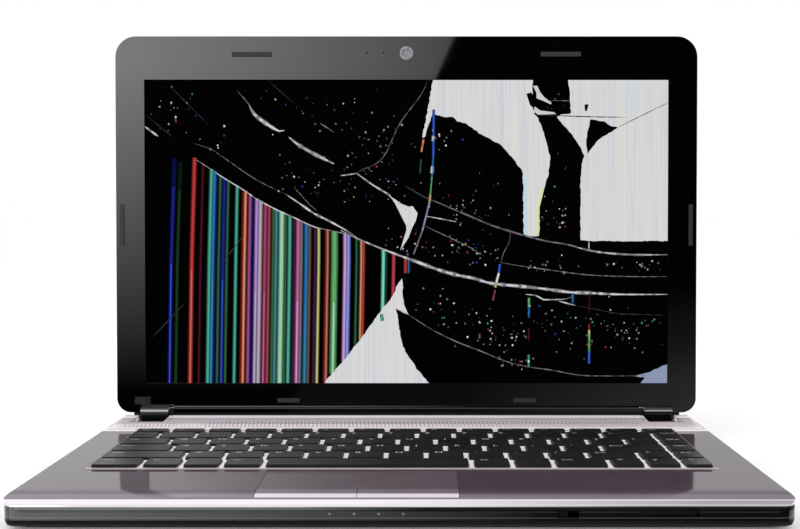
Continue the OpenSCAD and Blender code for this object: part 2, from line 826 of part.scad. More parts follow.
module hinge_covers() {
    color([0.03, 0.03, 0.035]) place_lid() both_sides() difference() {
        union() {
            along_hinge(cover_x0, cover_x1, barrel_r);
            span([cover_x0, -0.3, 0], [cover_x1, lid_y1 - 0.1, notch_z]);
        }
        along_hinge(cover_x0 - 1, cover_x1 - 1.2, pin_r + pin_play);
        along_hinge(ring_x0 - seat_play, ring_x1 + seat_play, ring_r + seat_play);
        span([ring_x0 - seat_play, 0, 0.5 - seat_play],
             [ring_x1 + seat_play, arm_y + arm_t + seat_play, 2.5 + seat_play]);
        span([ring_x0 - seat_play, arm_y - seat_play, 0.5 - seat_play],
             [ring_x1 + seat_play, arm_y + arm_t + seat_play, notch_z + 1]);
    }
}

// ---- lid ----------------------------------------------------------------

module lid_outline(in = 0) {
    round_rect(-base_w / 2 + in, lid_z0 + in, base_w / 2 - in, lid_z1 - in, lid_low_r - in, lid_top_r - in);
}

module lid_form() {
    intersection() {
        sweep_y(lid_y0, lid_y1) lid_outline();
        sweep_x(base_w + 2) round_rect(lid_y0 - 9, lid_z0 - 9, lid_y1, lid_z1, 0, lid_edge_r);
        translate([0, 0, -1]) linear_extrude(lid_z1 + 2)
            round_rect(-base_w / 2, lid_y0 - 9, base_w / 2, lid_y1, 0, lid_edge_r);
    }
}

module hinge_notch() {
    span([cheek_x0 - 0.4, lid_y0 - 1, lid_z0 - 1], [cover_x1 + 0.3, lid_y1 + 1, notch_z]);
}

module lid_cover() {
    color([0.05, 0.05, 0.055]) place_lid() difference() {
        intersection() {
            lid_form();
            span([-base_w, glass_y, -5], [base_w, lid_y1 + 1, lid_z1 + 5]);
        }
        sweep_y(glass_y - 1, lid_y1 - lid_skin) lid_outline(shell_t);
        both_sides() hinge_notch();
    }
}

cam_z = lid_z1 - 9.3;
cam_r = 3.6;
MIC_X = [-22, -12.8];
cap_x = 148.6;
cap_z = lid_z0 + 6.8;
cap_w = 8.8;
cap_h = 4.2;

module lid_bezel() {
    color([0.02, 0.02, 0.022]) place_lid() difference() {
        sweep_y(lid_y0, glass_y) lid_outline();
        span([-view_w / 2, lid_y0 - 1, view_z0], [view_w / 2, glass_y + 1, view_z1]);
        both_sides() hinge_notch();
        translate([0, lid_y0 - 1, cam_z]) rotate([-90, 0, 0]) cylinder(r = cam_r + 0.1, h = 5);
        for (x = MIC_X) translate([x, lid_y0 - 1, cam_z]) rotate([-90, 0, 0]) cylinder(r = 0.5, h = 5);
        both_sides() translate([cap_x, lid_y0, cap_z]) cube([cap_w + 0.1, 1.6, cap_h + 0.1], center = true);
    }
}

// fracture lines of the display, from the lower left corner of its picture
CRACKS = [
    [[28, 127], [48, 113], [71, 100], [93, 89], [113, 82], [144, 70],
     [172, 60], [200, 55], [234, 52], [294, 50]],
    [[54, 161], [60, 154], [78, 142], [93, 131], [106, 124], [118, 119], [135, 103], [152, 100]],
    [[152, 100], [183, 91], [211, 82], [245, 77], [273, 73], [294, 72.5]],
    [[146, 41], [166, 27], [189, 17], [211, 10], [239, 5], [273, 3]],
    [[220, 151], [270, 149]],
    [[266, 143], [294, 158]],
    [[163, 169], [162, 151], [161, 114], [158, 97], [149, 89], [144, 70],
     [146, 56], [145, 41], [160, 1]]];
crack_w = 0.35;
crack_d = 0.3;

module crack_lines() {
    for (line = CRACKS) for (k = [0 : len(line) - 2])
        let (a = line[k], b = line[k + 1], d = b - a)
            translate(a) rotate(atan2(d[1], d[0])) translate([0, -crack_w / 2]) square([norm(d), crack_w]);
}

module lcd_panel() {
    color([0.04, 0.04, 0.05]) place_lid() difference() {
        span([-view_w / 2 - panel_margin, glass_y, view_z0 - panel_margin],
             [view_w / 2 + panel_margin, glass_y + glass_t, view_z1 + panel_margin]);
        sweep_y(glass_y - 1, glass_y + crack_d) translate([-view_w / 2, view_z0]) crack_lines();
    }
}

module lcd_backlight() {
    color([0.85, 0.86, 0.88]) place_lid()
        span([-view_w / 2 - panel_margin, glass_y + glass_t, view_z0 - panel_margin],
             [view_w / 2 + panel_margin, glass_y + glass_t + light_t, view_z1 + panel_margin]);
}

module display_cable() {
    cable_y = glass_y + glass_t + light_t;
    color([0.2, 0.15, 0.1]) place_lid()
        span([-70, cable_y, lid_z0 + shell_t + 0.4], [-52, cable_y + 0.3, view_z0 + 40]);
}

module webcam_module() {
    color([0.06, 0.2, 0.12]) place_lid() span([-32, glass_y, cam_z - 4.6], [32, glass_y + 3, cam_z + 4.6]);
}

module webcam_lens() {
    color([0.2, 0.2, 0.22]) place_lid() difference() {
        translate([0, lid_y0 - 0.1, cam_z]) rotate([-90, 0, 0]) cylinder(r = cam_r, h = bezel_t + 0.1);
        translate([0, lid_y0 - 1, cam_z]) rotate([-90, 0, 0]) cylinder(r = cam_r - 1.2, h = 1.6);
    }
}

// rubber bumpers on one side of the lid: place across and up the lid, width,
// height and how far they stand out of the bezel
BUMPERS = [[86.5, lid_z1 - 10, 22.4, 2.5, 0.8], [159.6, lid_z0 + 105.4, 2.2, 23, 0.8],
           [66.5, lid_z0 + 6.8, 12.4, 2.4, 0.25]];

module lid_bumpers() {
    color([0.2, 0.2, 0.21]) place_lid() both_sides() for (b = BUMPERS)
        translate([b[0], lid_y0 - b[4] / 2, b[1]]) cube([b[2], b[4], b[3]], center = true);
}

module lid_screw_caps() {
    color([0.03, 0.03, 0.035]) place_lid() both_sides()
        translate([cap_x, lid_y0 + 0.25, cap_z]) cube([cap_w, 1.1, cap_h], center = true);
}

bottom_cover();
top_case();
speaker_grille();
keyboard_frame();
key_escape();
function_keys();
key_delete();
number_keys();
key_backspace();
navigation_keys();
key_tab();
upper_letter_keys();
key_caps_lock();
home_letter_keys();
key_enter();
key_shift_left();
lower_letter_keys();
key_shift_right();
key_ctrl_left();
modifier_keys();
space_bar();
key_ctrl_right();
key_arrow_up();
key_arrow_left();
key_arrow_down();
key_arrow_right();
touchpad();
touchpad_button_left();
touchpad_button_right();
power_button();
wireless_switch();
card_slot_blank();
status_lights();
motherboard();
heat_pipe();
fan_housing();
fan_rotor();
battery_pack();
hard_drive();
memory_module();
wireless_card();
speakers();
side_ports();
audio_jacks();
power_inlet();
rubber_feet();
case_screws();
hinge_brackets();
hinge_arms();
hinge_covers();
lid_cover();
lid_bezel();
lcd_panel();
lcd_backlight();
display_cable();
webcam_module();
webcam_lens();
lid_bumpers();
lid_screw_caps();
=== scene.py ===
import json
import math
import random

import bmesh
import bpy
from mathutils import Matrix, Vector
from mathutils.geometry import tessellate_polygon

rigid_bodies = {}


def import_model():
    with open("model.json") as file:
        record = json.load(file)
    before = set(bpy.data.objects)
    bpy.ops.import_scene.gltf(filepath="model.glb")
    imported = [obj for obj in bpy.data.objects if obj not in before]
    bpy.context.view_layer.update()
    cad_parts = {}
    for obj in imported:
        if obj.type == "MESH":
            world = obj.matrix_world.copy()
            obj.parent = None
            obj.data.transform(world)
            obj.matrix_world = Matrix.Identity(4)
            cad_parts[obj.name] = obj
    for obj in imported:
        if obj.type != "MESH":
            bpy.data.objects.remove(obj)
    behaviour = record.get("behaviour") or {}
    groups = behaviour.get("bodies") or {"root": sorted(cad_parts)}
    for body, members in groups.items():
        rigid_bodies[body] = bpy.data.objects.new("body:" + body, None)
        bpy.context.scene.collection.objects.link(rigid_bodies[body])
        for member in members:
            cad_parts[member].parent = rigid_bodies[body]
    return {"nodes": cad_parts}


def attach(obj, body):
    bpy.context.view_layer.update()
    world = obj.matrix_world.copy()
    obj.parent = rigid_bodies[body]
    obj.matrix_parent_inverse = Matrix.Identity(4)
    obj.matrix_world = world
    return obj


for old in list(bpy.data.objects):
    bpy.data.objects.remove(old)
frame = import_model()
bpy.context.view_layer.update()
random.seed(7)

# ---- places in the row frame ------------------------------------------------
LEAN = math.radians(4.6)
HINGE_Y, HINGE_Z = 0.09475, 0.0177
DESIGN_Y = 54.5987          # design y minus this is the row frame's y, in mm
VIEW_LEFT, VIEW_LOW = -147.0, 16.9      # the display's lower left corner, in mm on the lid
VIEW_W, VIEW_H = 294, 170.2
CAP_TOP = 16.02                         # just over the key caps, in mm
DECK_Y0, DECK_Y1 = 0.0530, 0.0940       # the pale deck, from its front edge to the lid, in m
SLOT_PITCH = 0.00215                    # of the slots in the deck
LIP_Y = -0.1124                         # the base's rolled front edge lies in front of this


def lid_point(x, y, z):
    """A point given in mm across, into and up the lid, in the row frame."""
    return Vector((x / 1000,
                   HINGE_Y + (y * math.cos(LEAN) + z * math.sin(LEAN)) / 1000,
                   HINGE_Z + (z * math.cos(LEAN) - y * math.sin(LEAN)) / 1000))


def base_point(x, y, z):
    return Vector((x / 1000, (y - DESIGN_Y) / 1000, z / 1000))


def rgb(r, g, b):
    """A linear colour from its sRGB values of 0 to 255."""
    srgb = [c / 255 for c in (r, g, b)]
    return (*(c / 12.92 if c <= 0.04045 else ((c + 0.055) / 1.055) ** 2.4 for c in srgb), 1)


def added(name, mesh, body):
    """A new piece of the object that rides on a body."""
    o = bpy.data.objects.new(name, mesh)
    bpy.context.scene.collection.objects.link(o)
    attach(o, body)
    return o


def mesh_of(bm, name, material=None, smooth=False):
    me = bpy.data.meshes.new(name)
    bm.to_mesh(me)
    if smooth:
        for f in me.polygons:
            f.use_smooth = True
    if material:
        me.materials.append(material)
    return me


# ---- materials --------------------------------------------------------------
def new_material(name):
    m = bpy.data.materials.new(name)
    m.use_nodes = True
    m.node_tree.nodes.clear()
    t = m.node_tree
    out = t.nodes.new("ShaderNodeOutputMaterial")
    p = t.nodes.new("ShaderNodeBsdfPrincipled")
    t.links.new(p.outputs[0], out.inputs["Surface"])
    return m, t, p


def noise(t, scale, detail=4, stretch=None, rough=0.5):
    where = t.nodes.new("ShaderNodeTexCoord").outputs["Object"]
    if stretch:
        mp = t.nodes.new("ShaderNodeMapping")
        mp.inputs["Scale"].default_value = stretch
        t.links.new(where, mp.inputs["Vector"])
        where = mp.outputs[0]
    n = t.nodes.new("ShaderNodeTexNoise")
    n.inputs["Scale"].default_value = scale
    n.inputs["Detail"].default_value = detail
    n.inputs["Roughness"].default_value = rough
    t.links.new(where, n.inputs["Vector"])
    return n.outputs["Fac"]


def remap(t, value, a, b, c, d):
    r = t.nodes.new("ShaderNodeMapRange")
    for i, v in zip(range(1, 5), (a, b, c, d)):
        r.inputs[i].default_value = v
    t.links.new(value, r.inputs[0])
    return r.outputs[0]


def mix(t, fac, a, b):
    m = t.nodes.new("ShaderNodeMix")
    m.data_type = "RGBA"
    for sock, v in ((m.inputs[0], fac), (m.inputs[6], a), (m.inputs[7], b)):
        if hasattr(v, "is_linked"):
            t.links.new(v, sock)
        else:
            sock.default_value = v
    return m.outputs[2]


def maths(t, op, *values):
    m = t.nodes.new("ShaderNodeMath")
    m.operation = op
    for sock, v in zip(m.inputs, values):
        if hasattr(v, "is_linked"):
            t.links.new(v, sock)
        else:
            sock.default_value = v
    return m.outputs[0]


def times(t, *values):
    """The product of two or more values."""
    out = values[0]
    for v in values[1:]:
        out = maths(t, "MULTIPLY", out, v)
    return out


def finish(name, base, second, rough, scale=60, grain=900, bump=0.0, metal=0.0, ior=1.5,
           coat=0.0, smudge=25, speck=None, stretch=None):
    """A moulded or painted surface: two close colours, a roughness that wanders, fine grain."""
    m, t, p = new_material(name)
    colour = mix(t, remap(t, noise(t, scale, 3, stretch), 0.35, 0.65, 0, 1), base, second)
    if speck:
        dots = remap(t, noise(t, speck[0], 2), speck[1], speck[1] + 0.05, 0, 1)
        colour = mix(t, dots, colour, speck[2])
    t.links.new(colour, p.inputs["Base Color"])
    t.links.new(remap(t, noise(t, smudge, 5), 0.3, 0.7, rough[0], rough[1]), p.inputs["Roughness"])
    if bump:
        b = t.nodes.new("ShaderNodeBump")
        b.inputs["Strength"].default_value = 1
        b.inputs["Distance"].default_value = bump
        t.links.new(noise(t, grain, 3, stretch), b.inputs["Height"])
        t.links.new(b.outputs[0], p.inputs["Normal"])
    p.inputs["Metallic"].default_value = metal
    p.inputs["IOR"].default_value = ior
    p.inputs["Coat Weight"].default_value = coat
    p.inputs["Coat Roughness"].default_value = 0.03
    return m


def place_of(t):
    """The object's own x, y and z."""
    s = t.nodes.new("ShaderNodeSeparateXYZ")
    t.links.new(t.nodes.new("ShaderNodeTexCoord").outputs["Object"], s.inputs[0])
    return s.outputs


def shader(material):
    """A material's node tree, its shader and the colour that it has so far."""
    t = material.node_tree
    p = next(n for n in t.nodes if n.type == "BSDF_PRINCIPLED")
    return t, p, p.inputs["Base Color"].links[0].from_socket


def axis_mask(t, axis, low, high, soft):
    """1 between low and high along one axis of the object, 0 outside."""
    at = place_of(t)[axis]
    return times(t, remap(t, at, low - soft, low, 0, 1), remap(t, at, high, high + soft, 1, 0))


def deck_bands(t):
    """The pale deck from its front edge to the lid: bright, mauve, a dark groove, bright, then painted shade
    under the lid.
    """
    x, y, z = place_of(t)
    bright, back, groove = rgb(240, 235, 239), rgb(232, 226, 230), rgb(112, 104, 110)
    # from 0.0905 to the lid the ramp darkens: painted shade under the lid
    stops = [(0.0560, bright), (0.0566, rgb(196, 186, 193)), (0.0807, rgb(184, 173, 180)), (0.0812, groove),
             (0.0820, groove), (0.0826, back), (0.0905, back), (0.0922, rgb(150, 144, 148))]
    ramp = t.nodes.new("ShaderNodeValToRGB")
    first, last = ramp.color_ramp.elements
    first.position, first.color = 0.0, bright
    last.position, last.color = 1.0, rgb(40, 37, 40)
    for at, colour in stops:
        ramp.color_ramp.elements.new((at - DECK_Y0) / (DECK_Y1 - DECK_Y0)).color = colour
    t.links.new(remap(t, y, DECK_Y0, DECK_Y1, 0, 1), ramp.inputs[0])
    # painted highlights: pale lands between the front row of slots, stronger on the left
    wave = maths(t, "SINE", times(t, x, 2 * math.pi / SLOT_PITCH))
    row = times(t, remap(t, y, 0.0560, 0.0566, 0, 1), remap(t, y, 0.0634, 0.0642, 1, 0))
    slot_highlights = times(t, remap(t, wave, -0.5, 0.1, 0, 1), remap(t, x, -0.02, 0.09, 0.9, 0.25))
    bands = mix(t, times(t, row, slot_highlights), ramp.outputs[0], rgb(246, 242, 245))
    # painted shade: a black floor under the hinge covers
    side = maths(t, "ABSOLUTE", x)
    across = times(t, remap(t, side, 0.1312, 0.1318, 0, 1), remap(t, side, 0.1492, 0.1498, 1, 0))
    low = times(t, remap(t, z, 0.0154, 0.0158, 1, 0), remap(t, y, 0.0795, 0.0805, 0, 1))
    return mix(t, times(t, across, low), bands, rgb(14, 14, 15))


def dress(material, *names):
    for name in names:
        for s in frame["nodes"][name].material_slots:
            s.link = "OBJECT"
            s.material = material


# the palm rest's paint: a pale deck that glows as painted light, a painted highlight on the front slope, and
# a pale rolled front lip with painted shade low down on the right and a glowing painted highlight along its
# top on the right
mauve = finish("mauve_paint", rgb(82, 70, 80), rgb(88, 76, 86), (0.06, 0.11), 35, 2600, 0.0000015, ior=1.42,
               speck=(5200, 0.66, rgb(140, 126, 136)))
t, p, was = shader(mauve)
x, y, z = place_of(t)
# painted highlight: the palm rest's front slope, just behind the lip, is lighter
was = mix(t, remap(t, y, -0.1062, -0.1088, 0, 1), was, rgb(128, 116, 128))
deck = axis_mask(t, 1, 0.0526, 0.110, 0.0002)
lip = axis_mask(t, 1, -0.130, LIP_Y, 0.0002)
# painted shade: the lip's lower part darkens towards the right
turned = times(t, remap(t, z, 0.0105, 0.0111, 1, 0), remap(t, x, 0.02, 0.10, 0, 0.95))
lip_paint = mix(t, turned, rgb(230, 223, 230), rgb(34, 30, 36))
paint = mix(t, lip, mix(t, deck, was, deck_bands(t)), lip_paint)
t.links.new(paint, p.inputs["Base Color"])
# the deck glows as painted light, and a painted highlight glows along the lip's top towards the right
t.links.new(paint, p.inputs["Emission Color"])
edge = times(t, lip, remap(t, z, 0.0121, 0.0124, 0, 1), remap(t, x, -0.02, 0.10, 0, 0.34))
t.links.new(maths(t, "ADD", times(t, deck, 0.22), edge), p.inputs["Emission Strength"])
t.links.new(times(t, lip, 0.9), p.inputs["Metallic"])

pad = finish("touchpad_paint", rgb(100, 88, 96), rgb(107, 95, 103), (0.14, 0.2), 40, 3000, 0.000004, ior=1.42)
buttons = finish("button_paint", rgb(120, 108, 118), rgb(128, 116, 126), (0.14, 0.22), 40, 3000, 0.000002,
                 ior=1.45)
t, p, was = shader(buttons)
# a painted highlight across the buttons' front, where they roll down
t.links.new(mix(t, axis_mask(t, 1, -0.1200, -0.1072, 0.0008), was, rgb(232, 222, 236)),
            p.inputs["Base Color"])

grille = finish("grille_paint", rgb(196, 184, 191), rgb(206, 194, 201), (0.3, 0.42), 50, 2600, 0.000004,
                ior=1.45)
t, p, was = shader(grille)
bands = mix(t, remap(t, noise(t, 50, 3), 0.3, 0.7, 0, 0.12), deck_bands(t), rgb(206, 194, 201))
t.links.new(bands, p.inputs["Base Color"])
# the grille glows as painted light; its bands hold painted highlights and painted shade
t.links.new(bands, p.inputs["Emission Color"])
p.inputs["Emission Strength"].default_value = 0.22

# the plate between the keys, which glows as painted light; its side margins are mauve
plate = finish("plate_paint", rgb(232, 225, 229), rgb(238, 231, 235), (0.28, 0.4), 60, 2400, 0.000004,
               ior=1.45)
t, p, was = shader(plate)
field = times(t, axis_mask(t, 0, -0.1416, 0.1416, 0.0001), axis_mask(t, 1, -0.0534, 0.0508, 0.0001))
ahead = remap(t, place_of(t)[1], -0.0536, -0.0534, 1, 0)
margin = mix(t, ahead, rgb(128, 118, 126), rgb(204, 194, 201))
t.links.new(mix(t, field, margin, was), p.inputs["Base Color"])
p.inputs["Emission Color"].default_value = rgb(235, 228, 232)
t.links.new(times(t, field, 0.3), p.inputs["Emission Strength"])

# the base's gloss black shell: a painted highlight line along its seam, and painted shade that turns its
# gloss down low down and high up on the right
shell = finish("gloss_shell", rgb(14, 14, 15), rgb(20, 20, 21), (0.06, 0.14), 45, 1800, 0.000003, ior=1.6,
               speck=(2400, 0.7, rgb(52, 52, 54)))
t, p, was = shader(shell)
seam_highlight = times(t, axis_mask(t, 2, 0.0058, 0.0062, 0.00015), axis_mask(t, 1, -0.13, -0.112, 0.0004))
t.links.new(mix(t, seam_highlight, was, rgb(64, 64, 66)), p.inputs["Base Color"])
x, y, z = place_of(t)
shine = remap(t, z, 0.0046, 0.0056, 0.04, 0.5)
shade = times(t, remap(t, z, 0.0084, 0.0090, 0, 1), remap(t, x, -0.04, 0.01, 0, 0.92))
t.links.new(times(t, shine, maths(t, "SUBTRACT", 1.0, shade)), p.inputs["Specular IOR Level"])

bezel = finish("bezel_gloss", rgb(2, 2, 3), rgb(4, 4, 5), (0.015, 0.05), 30, 1400, 0.0000004, ior=1.8,
               speck=(1500, 0.74, rgb(42, 42, 45)))
lid_back = finish("lid_paint", rgb(22, 21, 24), rgb(30, 28, 32), (0.08, 0.16), 40, 1800, 0.000003, ior=1.6,
                  speck=(2600, 0.7, rgb(70, 66, 72)))
key = finish("key_plastic", rgb(13, 15, 15), rgb(20, 22, 22), (0.30, 0.44), 90, 5200, 0.000012,
             speck=(2600, 0.72, rgb(58, 57, 56)))
trim_black = finish("trim_plastic", rgb(16, 16, 17), rgb(24, 24, 25), (0.25, 0.4), 90, 4200, 0.00001)
hinge_black = finish("hinge_gloss", rgb(12, 12, 13), rgb(18, 18, 19), (0.12, 0.2), 90, 4200, 0.000004,
                     ior=1.6)
t, p, was = shader(hinge_black)
# a painted highlight line along the top of the hinge covers
gleam = times(t, axis_mask(t, 2, 0.0193, 0.0198, 0.0002), axis_mask(t, 1, 0.05, 0.0945, 0.0003))
t.links.new(mix(t, gleam, was, rgb(150, 150, 148)), p.inputs["Base Color"])
hinge_satin = finish("hinge_satin", rgb(7, 7, 8), rgb(11, 11, 12), (0.55, 0.75), 90, 4200, 0.000006, ior=1.25)
rubber = finish("rubber", rgb(18, 18, 18), rgb(28, 27, 26), (0.7, 0.9), 200, 3500, 0.00003,
                speck=(900, 0.62, rgb(62, 60, 56)))
bumper = finish("bumper_rubber", rgb(14, 14, 15), rgb(22, 22, 23), (0.55, 0.75), 300, 4500, 0.00002)
# the panel's glass, which reflects more towards its left side
lcd = finish("lcd_glass", rgb(3, 3, 4), rgb(6, 6, 8), (0.03, 0.08), 30, 900, 0.0000003, ior=1.8)
t, p, was = shader(lcd)
t.links.new(remap(t, place_of(t)[0], -0.13, 0.0, 3.2, 1.42), p.inputs["IOR"])
zinc = finish("pressed_steel", rgb(150, 150, 148), rgb(182, 181, 178), (0.3, 0.5), 90, 1800, 0.00001,
              metal=1.0)
copper = finish("copper", rgb(196, 118, 82), rgb(150, 84, 58), (0.22, 0.45), 70, 1500, 0.00001, metal=1.0)
board = finish("board", rgb(20, 74, 44), rgb(30, 98, 58), (0.35, 0.55), 240, 2400, 0.00002,
               speck=(700, 0.62, rgb(176, 160, 96)))
backlight = finish("backlight_foil", rgb(210, 210, 206), rgb(228, 228, 226), (0.35, 0.5), 60, 1200, 0.00001)
foil = finish("cable_jacket", rgb(30, 30, 32), rgb(44, 44, 46), (0.4, 0.6), 200, 3200, 0.00002)
lens = finish("lens_glass", rgb(120, 122, 126), rgb(150, 152, 156), (0.05, 0.12), 400, 3000, 0.000001,
              ior=1.7)
lamp = finish("lamp_plastic", rgb(150, 150, 156), rgb(176, 176, 180), (0.2, 0.35), 400, 3000, 0.000002)
tin = finish("drive_tin", rgb(168, 170, 172), rgb(190, 191, 192), (0.25, 0.4), 50, 1500, 0.000006, metal=1.0)
port = finish("port_steel", rgb(150, 150, 150), rgb(178, 178, 176), (0.3, 0.45), 120, 2500, 0.000006,
              metal=1.0)

KEY_NODES = [n for n in frame["nodes"] if n.startswith("key_") or n.endswith("_keys") or n == "space_bar"]
dress(key, *KEY_NODES)
dress(shell, "bottom_cover")
dress(mauve, "top_case")
dress(grille, "speaker_grille")
dress(plate, "keyboard_frame")
dress(pad, "touchpad")
dress(buttons, "touchpad_button_left", "touchpad_button_right")
dress(grille, "power_button")
dress(bezel, "lid_bezel")
dress(lid_back, "lid_cover")
dress(hinge_black, "hinge_covers", "lid_screw_caps")
dress(bumper, "lid_bumpers")
dress(rubber, "rubber_feet")
dress(lcd, "lcd_panel")
dress(backlight, "lcd_backlight")
dress(foil, "display_cable")
dress(lens, "webcam_lens")
dress(trim_black, "webcam_module", "card_slot_blank", "wireless_switch", "audio_jacks", "battery_pack",
      "fan_housing", "fan_rotor", "speakers", "power_inlet")
dress(lamp, "status_lights")
dress(board, "motherboard", "memory_module", "wireless_card")
dress(copper, "heat_pipe")
dress(tin, "hard_drive")
dress(port, "side_ports")
dress(zinc, "case_screws")
dress(hinge_satin, "hinge_brackets", "hinge_arms")

EDGE_WIDTH = 0.00025
for name in KEY_NODES + ["power_button", "touchpad_button_left", "touchpad_button_right", "touchpad"]:
    b = frame["nodes"][name].modifiers.new("edge", "BEVEL")
    b.width = EDGE_WIDTH
    b.segments = 2
    b.limit_method = "ANGLE"
    b.angle_limit = math.radians(40)

# ---- the broken picture -------------------------------------------------------
GLOW = {
    "white": (226, 225, 228), "silver": (204, 202, 208), "ash": (118, 117, 124), "ghost": (54, 54, 60),
    "navy": (26, 32, 128), "ink": (14, 16, 74), "blue": (36, 110, 172), "royal": (52, 90, 200),
    "teal": (50, 130, 140), "sea": (72, 165, 142), "cyan": (110, 210, 190), "mint": (152, 202, 166),
    "green": (95, 166, 100), "forest": (45, 96, 62), "pine": (24, 56, 32), "olive": (62, 92, 52),
    "lime": (192, 196, 120), "sand": (190, 152, 112), "orange": (226, 136, 94), "salmon": (190, 108, 90),
    "red": (182, 56, 52), "crimson": (192, 60, 76), "wine": (78, 18, 34), "rust": (112, 32, 22),
    "brown": (112, 80, 66), "magenta": (162, 60, 102), "pink": (182, 96, 142), "rose": (140, 70, 76),
    "plum": (60, 26, 62), "purple": (150, 70, 132), "violet": (170, 130, 202), "lilac": (196, 150, 202),
    "periwinkle": (130, 140, 226), "fog": (176, 166, 176), "grey": (120, 110, 126), "dusk": (138, 149, 176),
    "ice": (190, 214, 222), "straw": (214, 222, 150), "black": (4, 4, 5),
}


def glow_material(name, colour, strength=1.0):
    m, t, p = new_material("glow_" + name)
    p.inputs["Base Color"].default_value = (0.001, 0.001, 0.001, 1)
    p.inputs["Roughness"].default_value = 0.55
    p.inputs["Specular IOR Level"].default_value = 0.0
    p.inputs["Emission Color"].default_value = rgb(*colour)
    p.inputs["Emission Strength"].default_value = 0.0 if name == "black" else strength
    return m, t, p


def field_material():
    """Lit liquid crystal: pale columns with a little pink, blue and green in them."""
    m, t, p = glow_material("field", (226, 225, 228))
    fine = remap(t, noise(t, 1, 2, (900, 1, 14), 0.6), 0.36, 0.64, 0, 1)
    wide = remap(t, noise(t, 1, 2, (160, 1, 8), 0.6), 0.38, 0.62, 0, 1)
    tint = mix(t, wide, rgb(214, 207, 209), rgb(201, 206, 214))
    t.links.new(mix(t, fine, tint, rgb(217, 218, 215)), p.inputs["Emission Color"])
    return m


glow = {"field": field_material()}


def glow_of(name):
    """The material of a palette colour, or of a share of it such as "navy 0.4"."""
    if name not in glow:
        plain, _, share = name.partition(" ")
        glow[name] = glow_material(name, GLOW[plain], float(share or 1))[0]
    return glow[name]


SHEET_Y, LAYER_STEP = 0.97, 0.03    # just in front of the panel's glass, and between layers, in mm


class Sheet:
    """Flat shapes on the screen, in mm from the picture's lower left corner."""

    def __init__(self):
        self.bm = bmesh.new()
        self.slots = []

    def slot(self, colour):
        if colour not in self.slots:
            self.slots.append(colour)
        return self.slots.index(colour)

    def corner(self, x, y, layer):
        x, y = min(max(x, 0), VIEW_W), min(max(y, 0), VIEW_H)
        return self.bm.verts.new(lid_point(VIEW_LEFT + x, SHEET_Y - LAYER_STEP * layer, VIEW_LOW + y))

    def shape(self, points, colour, layer):
        made = [self.corner(x, y, layer) for x, y in points]
        for tri in tessellate_polygon([[Vector((x, y, 0)) for x, y in points]]):
            f = self.bm.faces.new([made[i] for i in tri])
            f.material_index = self.slot(colour)

    def ribbon(self, points, width, colour, layer, taper=True, wobble=0.12, shades=("", "", " 0.6", " 0.35")):
        """A line of broken width, each stretch in one of the colour's shades."""
        line = curve(points)
        n = len(line)
        last = None
        for i, (x, y) in enumerate(line):
            ax, ay = line[max(i - 1, 0)]
            bx, by = line[min(i + 1, n - 1)]
            d = math.hypot(bx - ax, by - ay) or 1
            s = i / (n - 1)
            w = width * (0.25 + 0.75 * min(1, 4 * s, 4 * (1 - s)) if taper else 1) / 2
            w *= 1 + random.uniform(-wobble * 3, wobble * 3)
            ox, oy = -(by - ay) / d * w, (bx - ax) / d * w
            pair = self.corner(x + ox, y + oy, layer), self.corner(x - ox, y - oy, layer)
            if last:
                f = self.bm.faces.new((last[0], last[1], pair[1], pair[0]))
                f.material_index = self.slot(colour + random.choice(shades))
            last = pair

    def object(self, name, body):
        bmesh.ops.recalc_face_normals(self.bm, faces=self.bm.faces)
        for f in self.bm.faces:
            f.normal_update()
            if f.normal.y > 0:
                f.normal_flip()
        me = mesh_of(self.bm, name)
        for colour in self.slots:
            me.materials.append(glow_of(colour))
        added(name, me, body).visible_glossy = False


def curve(points, step=2.0):
    """A smooth line through the points, with a corner every step mm."""
    if len(points) < 3:
        (ax, ay), (bx, by) = points
        n = max(2, int(math.hypot(bx - ax, by - ay) / step))
        return [(ax + (bx - ax) * i / n, ay + (by - ay) * i / n) for i in range(n + 1)]
    out = []
    for i in range(len(points) - 1):
        p0, p1, p2, p3 = points[max(i - 1, 0)], points[i], points[i + 1], points[min(i + 2, len(points) - 1)]
        n = max(1, int(math.hypot(p2[0] - p1[0], p2[1] - p1[1]) / step))
        for k in range(n):
            u = k / n
            out.append(tuple(0.5 * (2 * b + (c - a) * u + (2 * a - 5 * b + 4 * c - d) * u * u
                                    + (3 * b - a - 3 * c + d) * u ** 3)
                             for a, b, c, d in zip(p0, p1, p2, p3)))
    out.append(points[-1])
    return out


def ragged(points, size=0.35, step=1.4):
    """The same outline with small steps along it, as a lit field ends on dead cells."""
    out = []
    for (ax, ay), (bx, by) in zip(points, points[1:] + points[:1]):
        d = math.hypot(bx - ax, by - ay)
        edge = (ax == bx and ax in (0, VIEW_W)) or (ay == by and ay in (0, VIEW_H))
        n = 1 if edge or d < step else int(d / step)
        for k in range(n):
            j = size if k else 0
            out.append((ax + (bx - ax) * k / n + random.uniform(-j, j),
                        ay + (by - ay) * k / n + random.uniform(-j, j)))
    return out


def height_on(line, x):
    """The height of a line of points at x."""
    for (ax, ay), (bx, by) in zip(line, line[1:]):
        if ax <= x <= bx:
            return ay + (by - ay) * (x - ax) / (bx - ax)
    return line[-1][1] if x > line[-1][0] else line[0][1]


T = VIEW_H
pic = Sheet()
pic.shape([(0, 0), (VIEW_W, 0), (VIEW_W, T), (0, T)], "black", 0)

